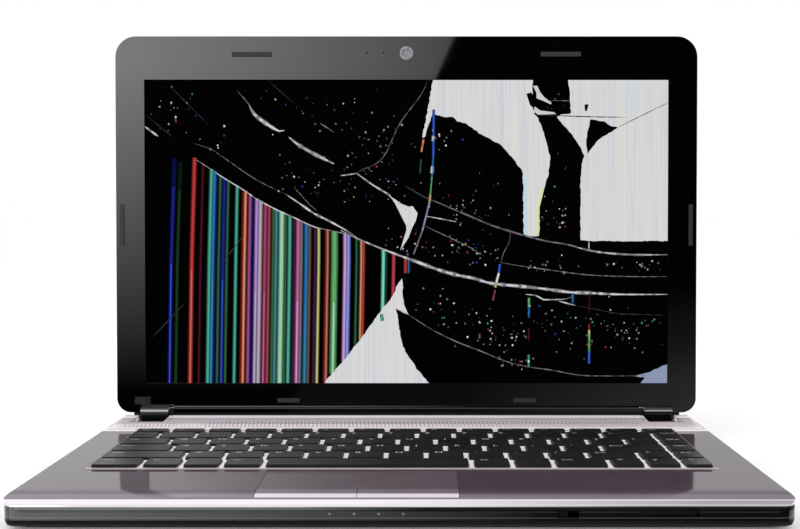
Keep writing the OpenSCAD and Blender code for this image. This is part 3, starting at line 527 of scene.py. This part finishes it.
# lit fields
MIDDLE = [(162, T), (218, T), (218, 156), (219, 151), (221, 149), (223, 144), (224.5, 139), (226, 134),
          (227.7, 128),
          (227, 118), (225, 111), (222, 100), (221.6, 83), (213, 83), (212.5, 117), (211, 121),
          (207.5, 125.5),
          (204, 129.5), (200, 134), (195, 136.5), (190.5, 139), (185, 142.5), (180.5, 146), (175.5, 147),
          (173, 149.6), (167.5, 149.7), (163, 151), (162.6, 154.5), (157, 138), (156, 138)]
RIGHT = [(237.7, T), (294, T), (294, 80), (249.4, 80), (245, 80.5), (245, 100), (244.8, 112), (245.5, 122.5),
         (247, 127.5), (244.5, 133), (241.5, 137.5), (238, 142), (234, 146.5), (231.5, 149.5), (234, 151),
         (239.3, 151.5), (238.8, 161.5)]
LOW = [(144.4, 59), (142, 55.5), (139.3, 49.4), (136, 44.6), (132.5, 40.6), (126.3, 32.4), (121.6, 25.6),
       (112, 13.3),
       (102, 2.2), (100.8, 0), (159.7, 0), (153.6, 7), (147, 16.7), (144.7, 22), (143.4, 27.7), (142.7, 32.4),
       (142, 38.5), (141, 42), (144.7, 39.9), (148.2, 38.5), (146, 43.3), (145, 48), (144.9, 55)]
pic.shape(ragged(MIDDLE), "field", 2)
pic.shape(ragged(RIGHT, 0.25), "field", 2)
pic.shape(ragged(LOW, 0.3), "field", 2)
pic.shape(ragged([(274.5, 3.9), (285, 6.6), (290, 9), (294, 10.6), (294, 0), (279, 0), (281.5, 3)], 0.3),
          "dusk", 2)
# the middle field's edges: a cool one on the left, a green-yellow one on the right
pic.shape([(213.1, 83.2), (215.2, 83.2), (214.6, 116), (212.8, 116)], "ice", 3)
pic.shape([(220.2, 83.2), (221.5, 83.2), (221.9, 99), (224.6, 110), (223.6, 110), (220.8, 99)], "straw", 3)
# dark islands in the right field
pic.shape(ragged([(250.3, 148.2), (258.4, 147), (261.5, 144.6), (265.7, 143.7), (259.7, 139.7),
                  (254.8, 136.7),
                  (251.8, 133), (248.7, 129), (248, 134.2), (248.7, 141.5)], 0.25), "black", 3)
pic.shape([(247, 156.5), (249.3, 156.7), (248.3, 152.8), (247.2, 153)], "black", 3)
pic.shape([(214.3, 162.4), (217, 163.4), (218.5, 161), (218.4, 154.5), (216.5, 156)], "black", 3)
# the knot of light where the cracks meet at the top
pic.shape([(218, 167), (220, 163), (220, 160), (224, 158.5), (228, 156.6), (228.5, 157.5), (224.5, 160.5),
           (222, 163.5),
           (220.5, 167)], "silver", 3)
pic.shape([(219, 155.5), (222, 153.2), (230, 152.2), (231, 151.2), (221, 150.8), (218.5, 152.5)], "silver", 3)
# the splash
pic.shape([(138.3, 105), (144, 101), (148.2, 99.3), (150.5, 99.6), (153.3, 95.6), (152.3, 91.5),
           (150.2, 87.4),
           (148.2, 82), (143.4, 74.6), (147, 86.2), (146.8, 88.8), (144, 94.2), (140.6, 101)], "field", 3)

# columns of lit cells: place, width, colour, and where they end if not on the cracks
ARC = [(0, 145), (15, 135), (29, 125.5), (38, 119.6), (44.6, 115.2), (56.4, 108), (62, 104), (73, 98),
       (83, 93.5),
       (95, 88), (104, 86), (113, 84), (118, 82), (130.5, 76.7), (143, 72), (151, 69)]
SLANT = [(0, 0), (100.8, 0), (112, 13.3), (121.6, 25.6), (126.3, 32.4), (132.5, 40.6), (139.3, 49.4),
         (144.4, 59)]
COLUMNS = [
    (13.2, 1.7, "navy"), (16.7, 1.3, "pine"), (24.8, 1.9, "red"), (29.7, 0.9, "wine"), (34.7, 1.6, "sea"),
    (36.5, 1.9, "blue"), (38, 1.1, "ink"), (39.9, 1.1, "forest"), (42.3, 1.7, "navy"), (44.5, 1.1, "forest"),
    (49.6, 1.3, "sea"), (53.2, 0.9, "rust"), (54.4, 1.3, "orange"), (57.2, 1.7, "purple"), (58.9, 1.5, "ink"),
    (61, 1.9, "violet"), (63.1, 1.9, "fog"), (65.9, 1.7, "magenta"), (68.1, 1.5, "rose"),
    (70.6, 1.3, "olive"),
    (72.2, 1.6, "teal"), (75.3, 2.6, "mint"), (77.6, 1.1, "forest"), (79.9, 1.6, "sea"), (82.5, 1.2, "plum"),
    (84.7, 2.1, "pink"), (86.5, 1.2, "grey"), (89.3, 2, "blue"), (91.2, 1.1, "brown"), (94.3, 1.4, "plum"),
    (96.3, 1.1, "lime"), (100.3, 0.8, "rust"), (101.3, 1.1, "salmon"), (105.2, 3.3, "green"),
    (111.2, 1.7, "lilac"),
    (113, 1.9, "periwinkle"), (117.6, 0.9, "forest"), (120.3, 0.9, "sand"), (121.5, 1.3, "red"),
    (132.8, 1.7, "cyan"),
    (134.4, 1, "pine"), (138.5, 1.4, "crimson"), (145.2, 1.3, "red"), (147, 0.6, "blue"),
]


BEND_Y = 70


def column_x(x, y):
    """Columns lean a little, and the outer ones bend further over towards the top."""
    return x + 0.0185 * min(y, BEND_Y) + (0.043 - 0.0004 * x) * max(0, y - BEND_Y)


def column(x, y0, y1, width, colour, layer):
    ys = [y0] + [y for y in (BEND_Y / 2, BEND_Y, 90, 110) if y0 < y < y1] + [y1]
    left = [(column_x(x, y) - width / 2, y) for y in ys]
    right = [(column_x(x, y) + width / 2, y) for y in ys]
    pic.shape(left + right[::-1], colour, layer)


# wide columns have a brighter core in their lower half
CORES = {"navy": "royal", "red": "salmon", "blue": "teal", "green": "mint", "violet": "fog", "pink": "lilac",
         "cyan": "mint", "magenta": "pink"}
for x, w, colour in COLUMNS:
    foot = 62 if x > 144 else height_on(SLANT, x)
    top = height_on(ARC, column_x(x, 110 - 0.4 * x))
    fade = top - 24 if x < 20 else top
    for width, share, layer in ((w + 1.0, " 0.14", 0.6), (w + 0.3, " 0.45", 1), (w * 0.6, "", 1.4)):
        column(x, foot, fade, width, colour + share, layer)
        if fade < top:      # the outer ones die away upwards
            column(x, fade, top - 8, width, colour + (" 0.08" if share == " 0.14" else " 0.25"), layer)
    if colour in CORES and w > 1.5:
        column(x, foot + 0.2, (foot + top) / 2, w * 0.3, CORES[colour], 1.8)

# cracks: line, width, colour
CRACKS = [
    ([(110, 86), (118, 82), (130.5, 76.7), (142.7, 72), (151, 69), (164.5, 64), (175, 61), (185, 59),
      (195, 56.2),
      (212, 54.5), (225.6, 53), (239, 51.2), (250, 50.8), (267, 50), (294, 50)], 1.5, "silver"),
    ([(29, 125.5), (38, 119.6), (44.6, 115.2), (56.4, 108), (62, 104), (73, 98), (83, 93.5), (95, 88),
      (104, 86),
      (113, 84)], 0.7, "silver"),
    ([(79, 106.4), (87, 101), (95, 95.5), (102.6, 91.7), (113, 86), (119, 82)], 1.0, "silver"),
    ([(27, 135), (36, 132), (39, 130.5), (49, 123.5), (60, 116), (68, 111.5), (79, 106.4)], 0.5, "ash"),
    ([(52, 164), (56.4, 159.3), (58.6, 156.4), (61.5, 151.2)], 0.7, "ash"),
    ([(58.6, 156.4), (61.5, 151.2), (68, 146), (75.5, 141.6), (78.4, 142)], 1.7, "silver"),
    ([(81, 138.3), (85.8, 134.3), (93, 130), (100.4, 126.2), (106.3, 123.3)], 1.6, "silver"),
    ([(0, 144.2), (7.5, 138.7)], 1.1, "silver"),
    ([(15, 166), (36, 145)], 0.45, "ghost"),
    ([(69, T), (84, 157)], 0.45, "ghost"),
    ([(98.6, 146), (106.4, 141)], 0.8, "ash"),
    ([(110, 116.7), (115.5, 117.4), (119, 118)], 0.9, "silver"),
    ([(119, 118), (128, 111.5), (137.3, 105.8), (140, 102)], 0.9, "silver"),
    ([(119, 118), (123, 120.5), (128.4, 122.5), (135, 128.6), (143.4, 146), (155, 161.7), (159, T)], 0.55,
     "ash"),
    ([(146.8, 110.6), (157, 104.8), (164.5, 101.7), (175.4, 97), (185, 93), (195, 88.8), (212, 83.5),
      (225.6, 80),
      (237.7, 78), (250.5, 74.6), (262.7, 73), (276, 72.3), (294, 72.3)], 0.85, "ash"),
    ([(237.7, 78), (250.5, 74.6), (262.7, 73), (276, 72.3), (294, 72.3)], 0.9, "silver"),
    ([(157.7, 94), (164.5, 92.8), (175, 90.8)], 0.7, "silver"),
    ([(157.7, 88.3), (169.3, 82.8), (178, 78.7), (184, 75.7), (190.4, 71.5)], 0.6, "ash"),
    ([(200, 68), (211, 66), (225.6, 64), (241.4, 61.8), (254.8, 60.6), (275, 60), (294, 60)], 0.8, "ash"),
    ([(205.5, 87), (205, 80), (202, 74), (200, 68)], 0.5, "ash"),
    ([(214, 50), (220, 49.3), (224.3, 47), (227.4, 47), (236.5, 47.4), (241.4, 49.3)], 0.8, "silver"),
    ([(232.9, 46.2), (242, 43.8)], 0.8, "silver"),
    ([(242, 43.8), (254.8, 41.4), (267, 39.2), (294, 38.3)], 0.45, "ghost"),
    ([(141, 42), (147, 39.2), (161, 30.4), (174.8, 23.5), (187, 18.8), (204, 12), (217, 9), (229, 7.3),
      (244.5, 4.5),
      (261, 4), (282, 4.2)], 0.75, "ash"),
    ([(249.6, 80), (249.8, 74.6)], 0.7, "silver"),
    ([(226, 158.8), (238.5, 158.6)], 0.6, "ash"),
    ([(0, 151), (10, 143), (16, 138)], 0.5, "ghost"),
    ([(84, 110), (93, 100), (97, 97)], 0.5, "ash"),
    ([(3, 25), (22, 45)], 0.5, "ghost"), ([(42, 66), (56, 84)], 0.5, "ghost"),
]
for line, width, colour in CRACKS:
    if width > 0.8:     # a dim border
        pic.ribbon(line, width * 1.25, colour + " 0.2", 3.8, shades=("",))
    pic.ribbon(line, width * (0.72 if colour == "ash" else 0.8), colour, 4)
for line, width in (([(218.5, 150.9), (245, 149.8), (270.5, 149.3)], 0.5),
                    ([(265.7, 143.7), (280, 150.8), (294, 157.5)], 0.4)):
    pic.ribbon(line, width, "ghost", 4)
# short lit stretches of single columns: line, width, colour
for line, width, colour in (
        ([(162.3, 153.6), (162.1, 128)], 1.2, "royal"), ([(162.1, 128), (161.3, 116)], 0.9, "blue"),
        ([(161.3, 116), (160.4, 106)], 0.8, "green"), ([(160.4, 106), (160, 102)], 1.2, "sand"),
        ([(160, 102), (158.9, 97.4), (156, 86)], 1.0, "dusk"), ([(156, 86), (151, 72.6)], 0.8, "ash"),
        ([(162.2, 139), (161.9, 136)], 1.6, "white"), ([(161.6, 122), (161.3, 118)], 1.5, "white"),
        ([(156.6, 137), (155.4, 130)], 1.0, "orange"), ([(155.2, 126), (154.6, 118)], 0.7, "forest"),
        ([(199.6, 67), (199, 62)], 1.2, "royal"), ([(199, 62), (197.6, 56.6)], 1.2, "white"),
        ([(197.4, 56), (197, 54)], 1.3, "lime"), ([(197, 52.5), (195.6, 46.5)], 0.9, "rose"),
        ([(216, 48), (216, 43)], 1.3, "green"), ([(216, 43), (215.9, 37)], 1.2, "blue"),
        ([(215.9, 31), (215.8, 24)], 0.9, "wine"), ([(215.9, 16), (215.9, 9)], 1.1, "sea"),
        ([(250, 50.5), (250, 40)], 0.6, "wine"), ([(250, 33.5), (250, 30)], 1.0, "rust"),
        ([(250, 30), (250, 26)], 1.1, "lime"), ([(250, 26), (250, 18)], 1.2, "green"),
        ([(250, 18), (250, 11)], 1.2, "royal"), ([(240.6, 50), (240.6, 45)], 1.3, "blue"),
        ([(132.8, 39), (133.5, 35)], 1.4, "sea")):
    pic.ribbon(line, width * 1.3, colour + " 0.2", 4.6, taper=False, wobble=0.04, shades=("",))
    pic.ribbon(line, width * 0.7, colour, 5, taper=False, wobble=0.04, shades=("", "", " 0.7"))

# dead and stuck cells, in loose clusters
CLUSTERS = [  # centre, spread, how many
    ((16, 152), (11, 11), 22), ((40, 134), (12, 8), 7), ((96, 150), (26, 14), 22), ((130, 138), (16, 20), 40),
    ((112, 118), (30, 14), 34), ((86, 112), (14, 10), 16), ((136, 108), (14, 10), 16),
    ((178, 112), (26, 14), 14),
    ((172, 140), (12, 7), 12), ((186, 96), (22, 8), 22), ((176, 76), (24, 7), 26), ((192, 72), (14, 6), 22),
    ((232, 108), (7, 16), 10), ((232, 92), (8, 6), 12), ((232, 156), (6, 6), 5), ((226, 66), (16, 5), 16),
    ((272, 66), (16, 3), 20), ((240, 30), (34, 12), 74), ((275, 30), (14, 9), 34), ((200, 24), (16, 9), 30),
    ((180, 38), (14, 8), 22), ((160, 46), (12, 6), 12), ((213, 12), (10, 4), 14), ((144, 80), (10, 6), 14),
]
TINTS = ["white", "silver", "silver", "ash", "ash", "fog", "fog", "mint", "sea", "crimson", "royal", "sand",
         "lilac"]
SIZES = (0.28, 0.34, 0.4, 0.46, 0.54, 0.6)
FIELDS = (MIDDLE, RIGHT, LOW)


def inside(x, y, poly):
    """Whether a point lies in an outline."""
    hit = False
    for (ax, ay), (bx, by) in zip(poly, poly[1:] + poly[:1]):
        if (ay > y) != (by > y) and x < ax + (bx - ax) * (y - ay) / (by - ay):
            hit = not hit
    return hit


for (cx, cy), (sx, sy), count in CLUSTERS:
    for _ in range(count):
        x, y = random.gauss(cx, sx * 0.6), random.gauss(cy, sy * 0.6)
        if not (1 < x < VIEW_W - 1 and 1 < y < T - 1) or any(inside(x, y, f) for f in FIELDS):
            continue
        if x < 150 and y < height_on(ARC, x) + 1:
            continue
        r = random.choice(SIZES)
        a = random.uniform(0, 1)
        tint = random.choice(TINTS)
        share = random.choice(("", "", " 0.7", " 0.45", " 0.25", " 0.12"))
        if tint not in ("white", "silver", "fog"):
            share = random.choice((" 0.6", " 0.35", " 0.18"))
        tint += share
        turns = [a + k * 1.0472 for k in range(6)]
        pic.shape([(x + r * math.cos(u), y + r * math.sin(u) * random.uniform(0.8, 1.3)) for u in turns],
                  tint, 6)
pic.object("broken_picture", "lid")

# ---- key legends --------------------------------------------------------------
U = 19.05           # key pitch, in mm
LEGEND_X = 4.2      # from the left side of a key's cell
ROWS = [            # widths in pitches, from the front row to the back
    [1.239, 0.966, 0.966, 1, 5, 0.985, 0.987, 1.35, 0.87, 0.87, 0.767],
    [2.075, 1, 1, 1, 1, 1, 1, 1, 1, 1, 1, 1.278, 0.877, 0.77],
    [1.575, 1, 1, 1, 1, 1, 1, 1, 1, 1, 1, 1, 1.655, 0.77],
    [1.325, 1, 1, 1, 1, 1, 1, 1, 1, 1, 1, 1, 1, 0.905, 0.77],
    [0.825, 1, 1, 1, 1, 1, 1, 1, 1, 1, 1, 1, 1, 1.405, 0.77],
    [1] * 15,
]
LABELS = [
    ["Ctrl", "Fn", "", "Alt", "", "Alt", "", "Ctrl", "<", "v", ">"],
    ["Shift"] + list("ZXCVBNM,./") + ["Shift", "^", "End"],
    ["Caps"] + list("ASDFGHJKL;'") + ["Enter", "PgDn"],
    ["Tab"] + list("QWERTYUIOP[]") + ["\\", "PgUp"],
    ["`"] + list("1234567890-=") + ["<--", "Home"],
    ["Esc"] + ["F%d" % k for k in range(1, 13)] + ["Ins", "Del"],
]
OWNER = {
    (0, 0): "key_ctrl_left", (0, 4): "space_bar", (0, 7): "key_ctrl_right", (0, 8): "key_arrow_left",
    (0, 9): "key_arrow_down", (0, 10): "key_arrow_right", (1, 0): "key_shift_left",
    (1, 11): "key_shift_right",
    (1, 12): "key_arrow_up", (2, 0): "key_caps_lock", (2, 12): "key_enter", (3, 0): "key_tab",
    (4, 13): "key_backspace", (5, 0): "key_escape", (5, 14): "key_delete",
}
REST = ["modifier_keys", "lower_letter_keys", "home_letter_keys", "upper_letter_keys", "number_keys",
        "function_keys"]


def owner(row, i):
    """The node that holds a key, by its row and its place in the row."""
    if (row, i) in OWNER:
        return OWNER[row, i]
    if row in (1, 2, 3, 4) and i == len(ROWS[row]) - 1:
        return "navigation_keys"
    return REST[row]


legend_ink = finish("legend_ink", rgb(226, 226, 222), rgb(206, 206, 203), (0.4, 0.55), 400, 3000, 0.000002)
drawn = {}
for row, widths in enumerate(ROWS):
    x0 = -15 * U / 2
    for i, w in enumerate(widths):
        label = LABELS[row][i]
        if label:
            size, up = (2.9, 5.4) if row == 5 else (4.9 if len(label) == 1 else 3.1, 12.2)
            font = bpy.data.curves.new("legend", "FONT")
            font.body = label
            font.size = size / 1000
            font.resolution_u = 3
            o = bpy.data.objects.new("legend", font)
            bpy.context.scene.collection.objects.link(o)
            bpy.context.view_layer.update()
            me = bpy.data.meshes.new_from_object(o)
            me.transform(Matrix.Translation(base_point(x0 + LEGEND_X, row * U + up, CAP_TOP)))
            bm = drawn.setdefault(owner(row, i), bmesh.new())
            bm.from_mesh(me)
            bpy.data.objects.remove(o)
        x0 += w * U
for name, bm in drawn.items():
    added("legends_" + name, mesh_of(bm, "legends_" + name, legend_ink), name)


# ---- webcam ring --------------------------------------------------------------
def lathe(name, profile, centre, body, material, turns=48):
    """A ring turned about the lid's own normal: profile of (radius, y) in mm."""
    bm = bmesh.new()
    angles = [2 * math.pi * k / turns for k in range(turns)]
    rings = [[bm.verts.new(lid_point(centre[0] + r * math.cos(a), y,
                                     centre[1] + r * math.sin(a))) for a in angles]
             for r, y in profile]
    for a, b in zip(rings, rings[1:]):
        for k in range(turns):
            bm.faces.new((a[k], a[(k + 1) % turns], b[(k + 1) % turns], b[k]))
    bmesh.ops.recalc_face_normals(bm, faces=bm.faces)
    added(name, mesh_of(bm, name, material, smooth=True), body)


ring = finish("ring_metal", rgb(150, 150, 154), rgb(176, 176, 180), (0.18, 0.3), 300, 3000, 0.000002,
              metal=0.9)
lathe("webcam_ring", [(3.75, -0.35), (3.7, -0.44), (3.45, -0.48), (3.1, -0.44), (2.9, -0.2), (2.9, 0.1)],
      (0, 201.9), "lid", ring)


def lid_ridge(name, x0, x1, profile, steps):
    """A moulded strip along the lid: its profile of (z, y) in mm swept from x0 to x1."""
    bm = bmesh.new()
    xs = [x0 + (x1 - x0) * k / steps for k in range(steps + 1)]
    rows = [[bm.verts.new(lid_point(x, y, z)) for z, y in profile] for x in xs]
    for a, b in zip(rows, rows[1:]):
        for k in range(len(profile) - 1):
            bm.faces.new((a[k], b[k], b[k + 1], a[k + 1]))
    bmesh.ops.recalc_face_normals(bm, faces=bm.faces)
    added(name, mesh_of(bm, name, bezel, smooth=True), "lid")


# the low ridge along the foot of the bezel between the hinges
lid_ridge("chin_strip", -131, 131, [(2.4, -0.38), (2.7, -0.46), (3.2, -0.51), (3.8, -0.46), (4.1, -0.38)], 60)
# the webs that close the lid above each hinge bracket
WEB = [(3.08, 2.6), (3.08, 0.4), (3.25, 0.2), (3.6, 0.1), (4.6, 0.1), (5.1, 0.16), (5.35, 0.4), (5.35, 2.6)]
lid_ridge("hinge_web_left", -134.0, -130.4, WEB, 6)
lid_ridge("hinge_web_right", 130.4, 134.0, WEB, 6)

# ---- stage: floor, world, lamps, camera ----------------------------------------
def plane(name, corners, material):
    me = bpy.data.meshes.new(name)
    me.from_pydata(corners, [], [(0, 1, 2, 3)])
    me.materials.append(material)
    o = bpy.data.objects.new(name, me)
    bpy.context.scene.collection.objects.link(o)
    return o


def sees_white(t):
    """1 for camera, glossy and transmission rays, 0 for the rest."""
    lp = t.nodes.new("ShaderNodeLightPath").outputs
    seen = maths(t, "MAXIMUM", lp["Is Camera Ray"], lp["Is Glossy Ray"])
    return maths(t, "MAXIMUM", seen, lp["Is Transmission Ray"])


FAR = 30        # half the floor's side, in m
m, t, p = new_material("floor")
p.inputs["Base Color"].default_value = (0.9, 0.9, 0.9, 1)
p.inputs["Roughness"].default_value = 0.9
p.inputs["Specular IOR Level"].default_value = 0.1
p.inputs["Emission Color"].default_value = (1, 1, 1, 1)
# lifted to white, apart from the part in the base's shade
under = times(t, axis_mask(t, 0, -0.158, 0.158, 0.006), axis_mask(t, 1, -0.1084, 0.100, 0.0006))
lift = times(t, maths(t, "SUBTRACT", 1.0, under), 0.14)
t.links.new(times(t, sees_white(t), lift), p.inputs["Emission Strength"])
plane("floor", [(-FAR, -FAR, 0), (FAR, -FAR, 0), (FAR, FAR, 0), (-FAR, FAR, 0)], m)

world = bpy.data.worlds.new("studio")
bpy.context.scene.world = world
world.use_nodes = True
t = world.node_tree
t.nodes.clear()
out = t.nodes.new("ShaderNodeOutputWorld")
bg = t.nodes.new("ShaderNodeBackground")
bg.inputs["Color"].default_value = (1, 1, 1, 1)
t.links.new(remap(t, sees_white(t), 0, 1, 0.95, 1.0), bg.inputs["Strength"])
t.links.new(bg.outputs[0], out.inputs["Surface"])


def area(name, at, aim, size, power):
    d = bpy.data.lights.new(name, "AREA")
    d.shape = "RECTANGLE"
    d.size, d.size_y = size
    d.energy = power
    o = bpy.data.objects.new(name, d)
    bpy.context.scene.collection.objects.link(o)
    o.location = at
    o.rotation_euler = (Vector(aim) - Vector(at)).to_track_quat("-Z", "Y").to_euler()


area("key", (-0.75, -0.55, 1.35), (0, 0, 0.03), (1.1, 0.9), 3.4)
area("back", (0.35, 1.1, 1.3), (0, 0, 0.03), (1.4, 0.7), 1.6)


def card(name, corners, strength):
    """An emissive card seen only in reflections; its strength is built from its own coordinates."""
    m = bpy.data.materials.new(name)
    m.use_nodes = True
    t = m.node_tree
    t.nodes.clear()
    out = t.nodes.new("ShaderNodeOutputMaterial")
    e = t.nodes.new("ShaderNodeEmission")
    x, y, z = place_of(t)
    t.links.new(strength(t, x, z), e.inputs["Strength"])
    t.links.new(e.outputs[0], out.inputs["Surface"])
    o = plane(name, corners, m)
    o.visible_camera = False
    o.visible_diffuse = False
    o.visible_shadow = False
    o.visible_transmission = False


def window_glow(t, x, z):
    """A bright window to the left, stronger towards its top."""
    up = maths(t, "POWER", remap(t, z, 0.07, 0.635, 0, 1), 1.33)
    return times(t, up, remap(t, x, -0.5, 0.06, 2.35, 0.75))


def flag_glow(t, x, z):
    """The dark room to the right, a little lighter low down."""
    low = times(t, remap(t, z, 0.05, 0.15, 1.0, 0.5), remap(t, x, 0.08, 0.45, 0.04, 0.26))
    return times(t, low, remap(t, z, 0.10, 0.25, 1, 0))


def sky_glow(t, x, z):
    """Mirrored in the lid and then in the palm rest's front edge."""
    return times(t, remap(t, x, -0.5, 0.5, 2.3, 0.6), remap(t, z, CARD_TOP, 1.5, 0.8, 2.2))


def rear_glow(t, x, z):
    """What the palm rest and its rolled front edge mirror beside and above the lid."""
    rise = remap(t, z, 0.3, 0.7, 0, 1)
    high = times(t, remap(t, x, -0.10, 0.45, 1.22, 0.44), rise)
    return maths(t, "ADD", high, times(t, remap(t, x, -0.44, 0.40, 0.80, 0.63),
                                       maths(t, "SUBTRACT", 1.0, rise)))


def floor_glow(t, x, z):
    return remap(t, x, -0.16, 0.061, 2.3, 0.0)


CARD_Y, CARD_TOP, CARD_END, SKY_END, SKY_TOP = -1.40, 0.9, 1.3, 1.5, 2.6
SLANT_LOW, SLANT_TOP = (-0.240, CARD_Y, 0.0), (0.157, CARD_Y, CARD_TOP)     # the window's slanting right edge
card("window_card", [(-CARD_END, CARD_Y, 0.0), SLANT_LOW, SLANT_TOP, (-CARD_END, CARD_Y, CARD_TOP)],
     window_glow)
card("flag_card", [SLANT_LOW, (CARD_END, CARD_Y, 0.0), (CARD_END, CARD_Y, CARD_TOP), SLANT_TOP], flag_glow)
card("sky_card", [(-SKY_END, CARD_Y, CARD_TOP), (SKY_END, CARD_Y, CARD_TOP), (SKY_END, CARD_Y, SKY_TOP),
                  (-SKY_END, CARD_Y, SKY_TOP)], sky_glow)
card("rear_card", [(-2.0, 0.8, 0.0), (2.0, 0.8, 0.0), (2.0, 0.8, 2.0), (-2.0, 0.8, 2.0)], rear_glow)
card("floor_card", [(-0.6, -0.45, 0.0003), (0.6, -0.45, 0.0003), (0.6, -0.119, 0.0003),
                    (-0.6, -0.119, 0.0003)],
     floor_glow)

cam = bpy.data.cameras.new("camera")
cam.sensor_width = 36
cam.lens = 60.234
cam.shift_x = -0.03167
cam.shift_y = 0.11530
cam_ob = bpy.data.objects.new("camera", cam)
bpy.context.scene.collection.objects.link(cam_ob)
cam_ob.location = (0.01061, -0.65269, 0.12820)
cam_ob.rotation_euler = (math.radians(84), 0, 0)
bpy.context.scene.camera = cam_ob
bpy.context.scene.view_settings.view_transform = "Standard"

bpy.context.view_layer.update()
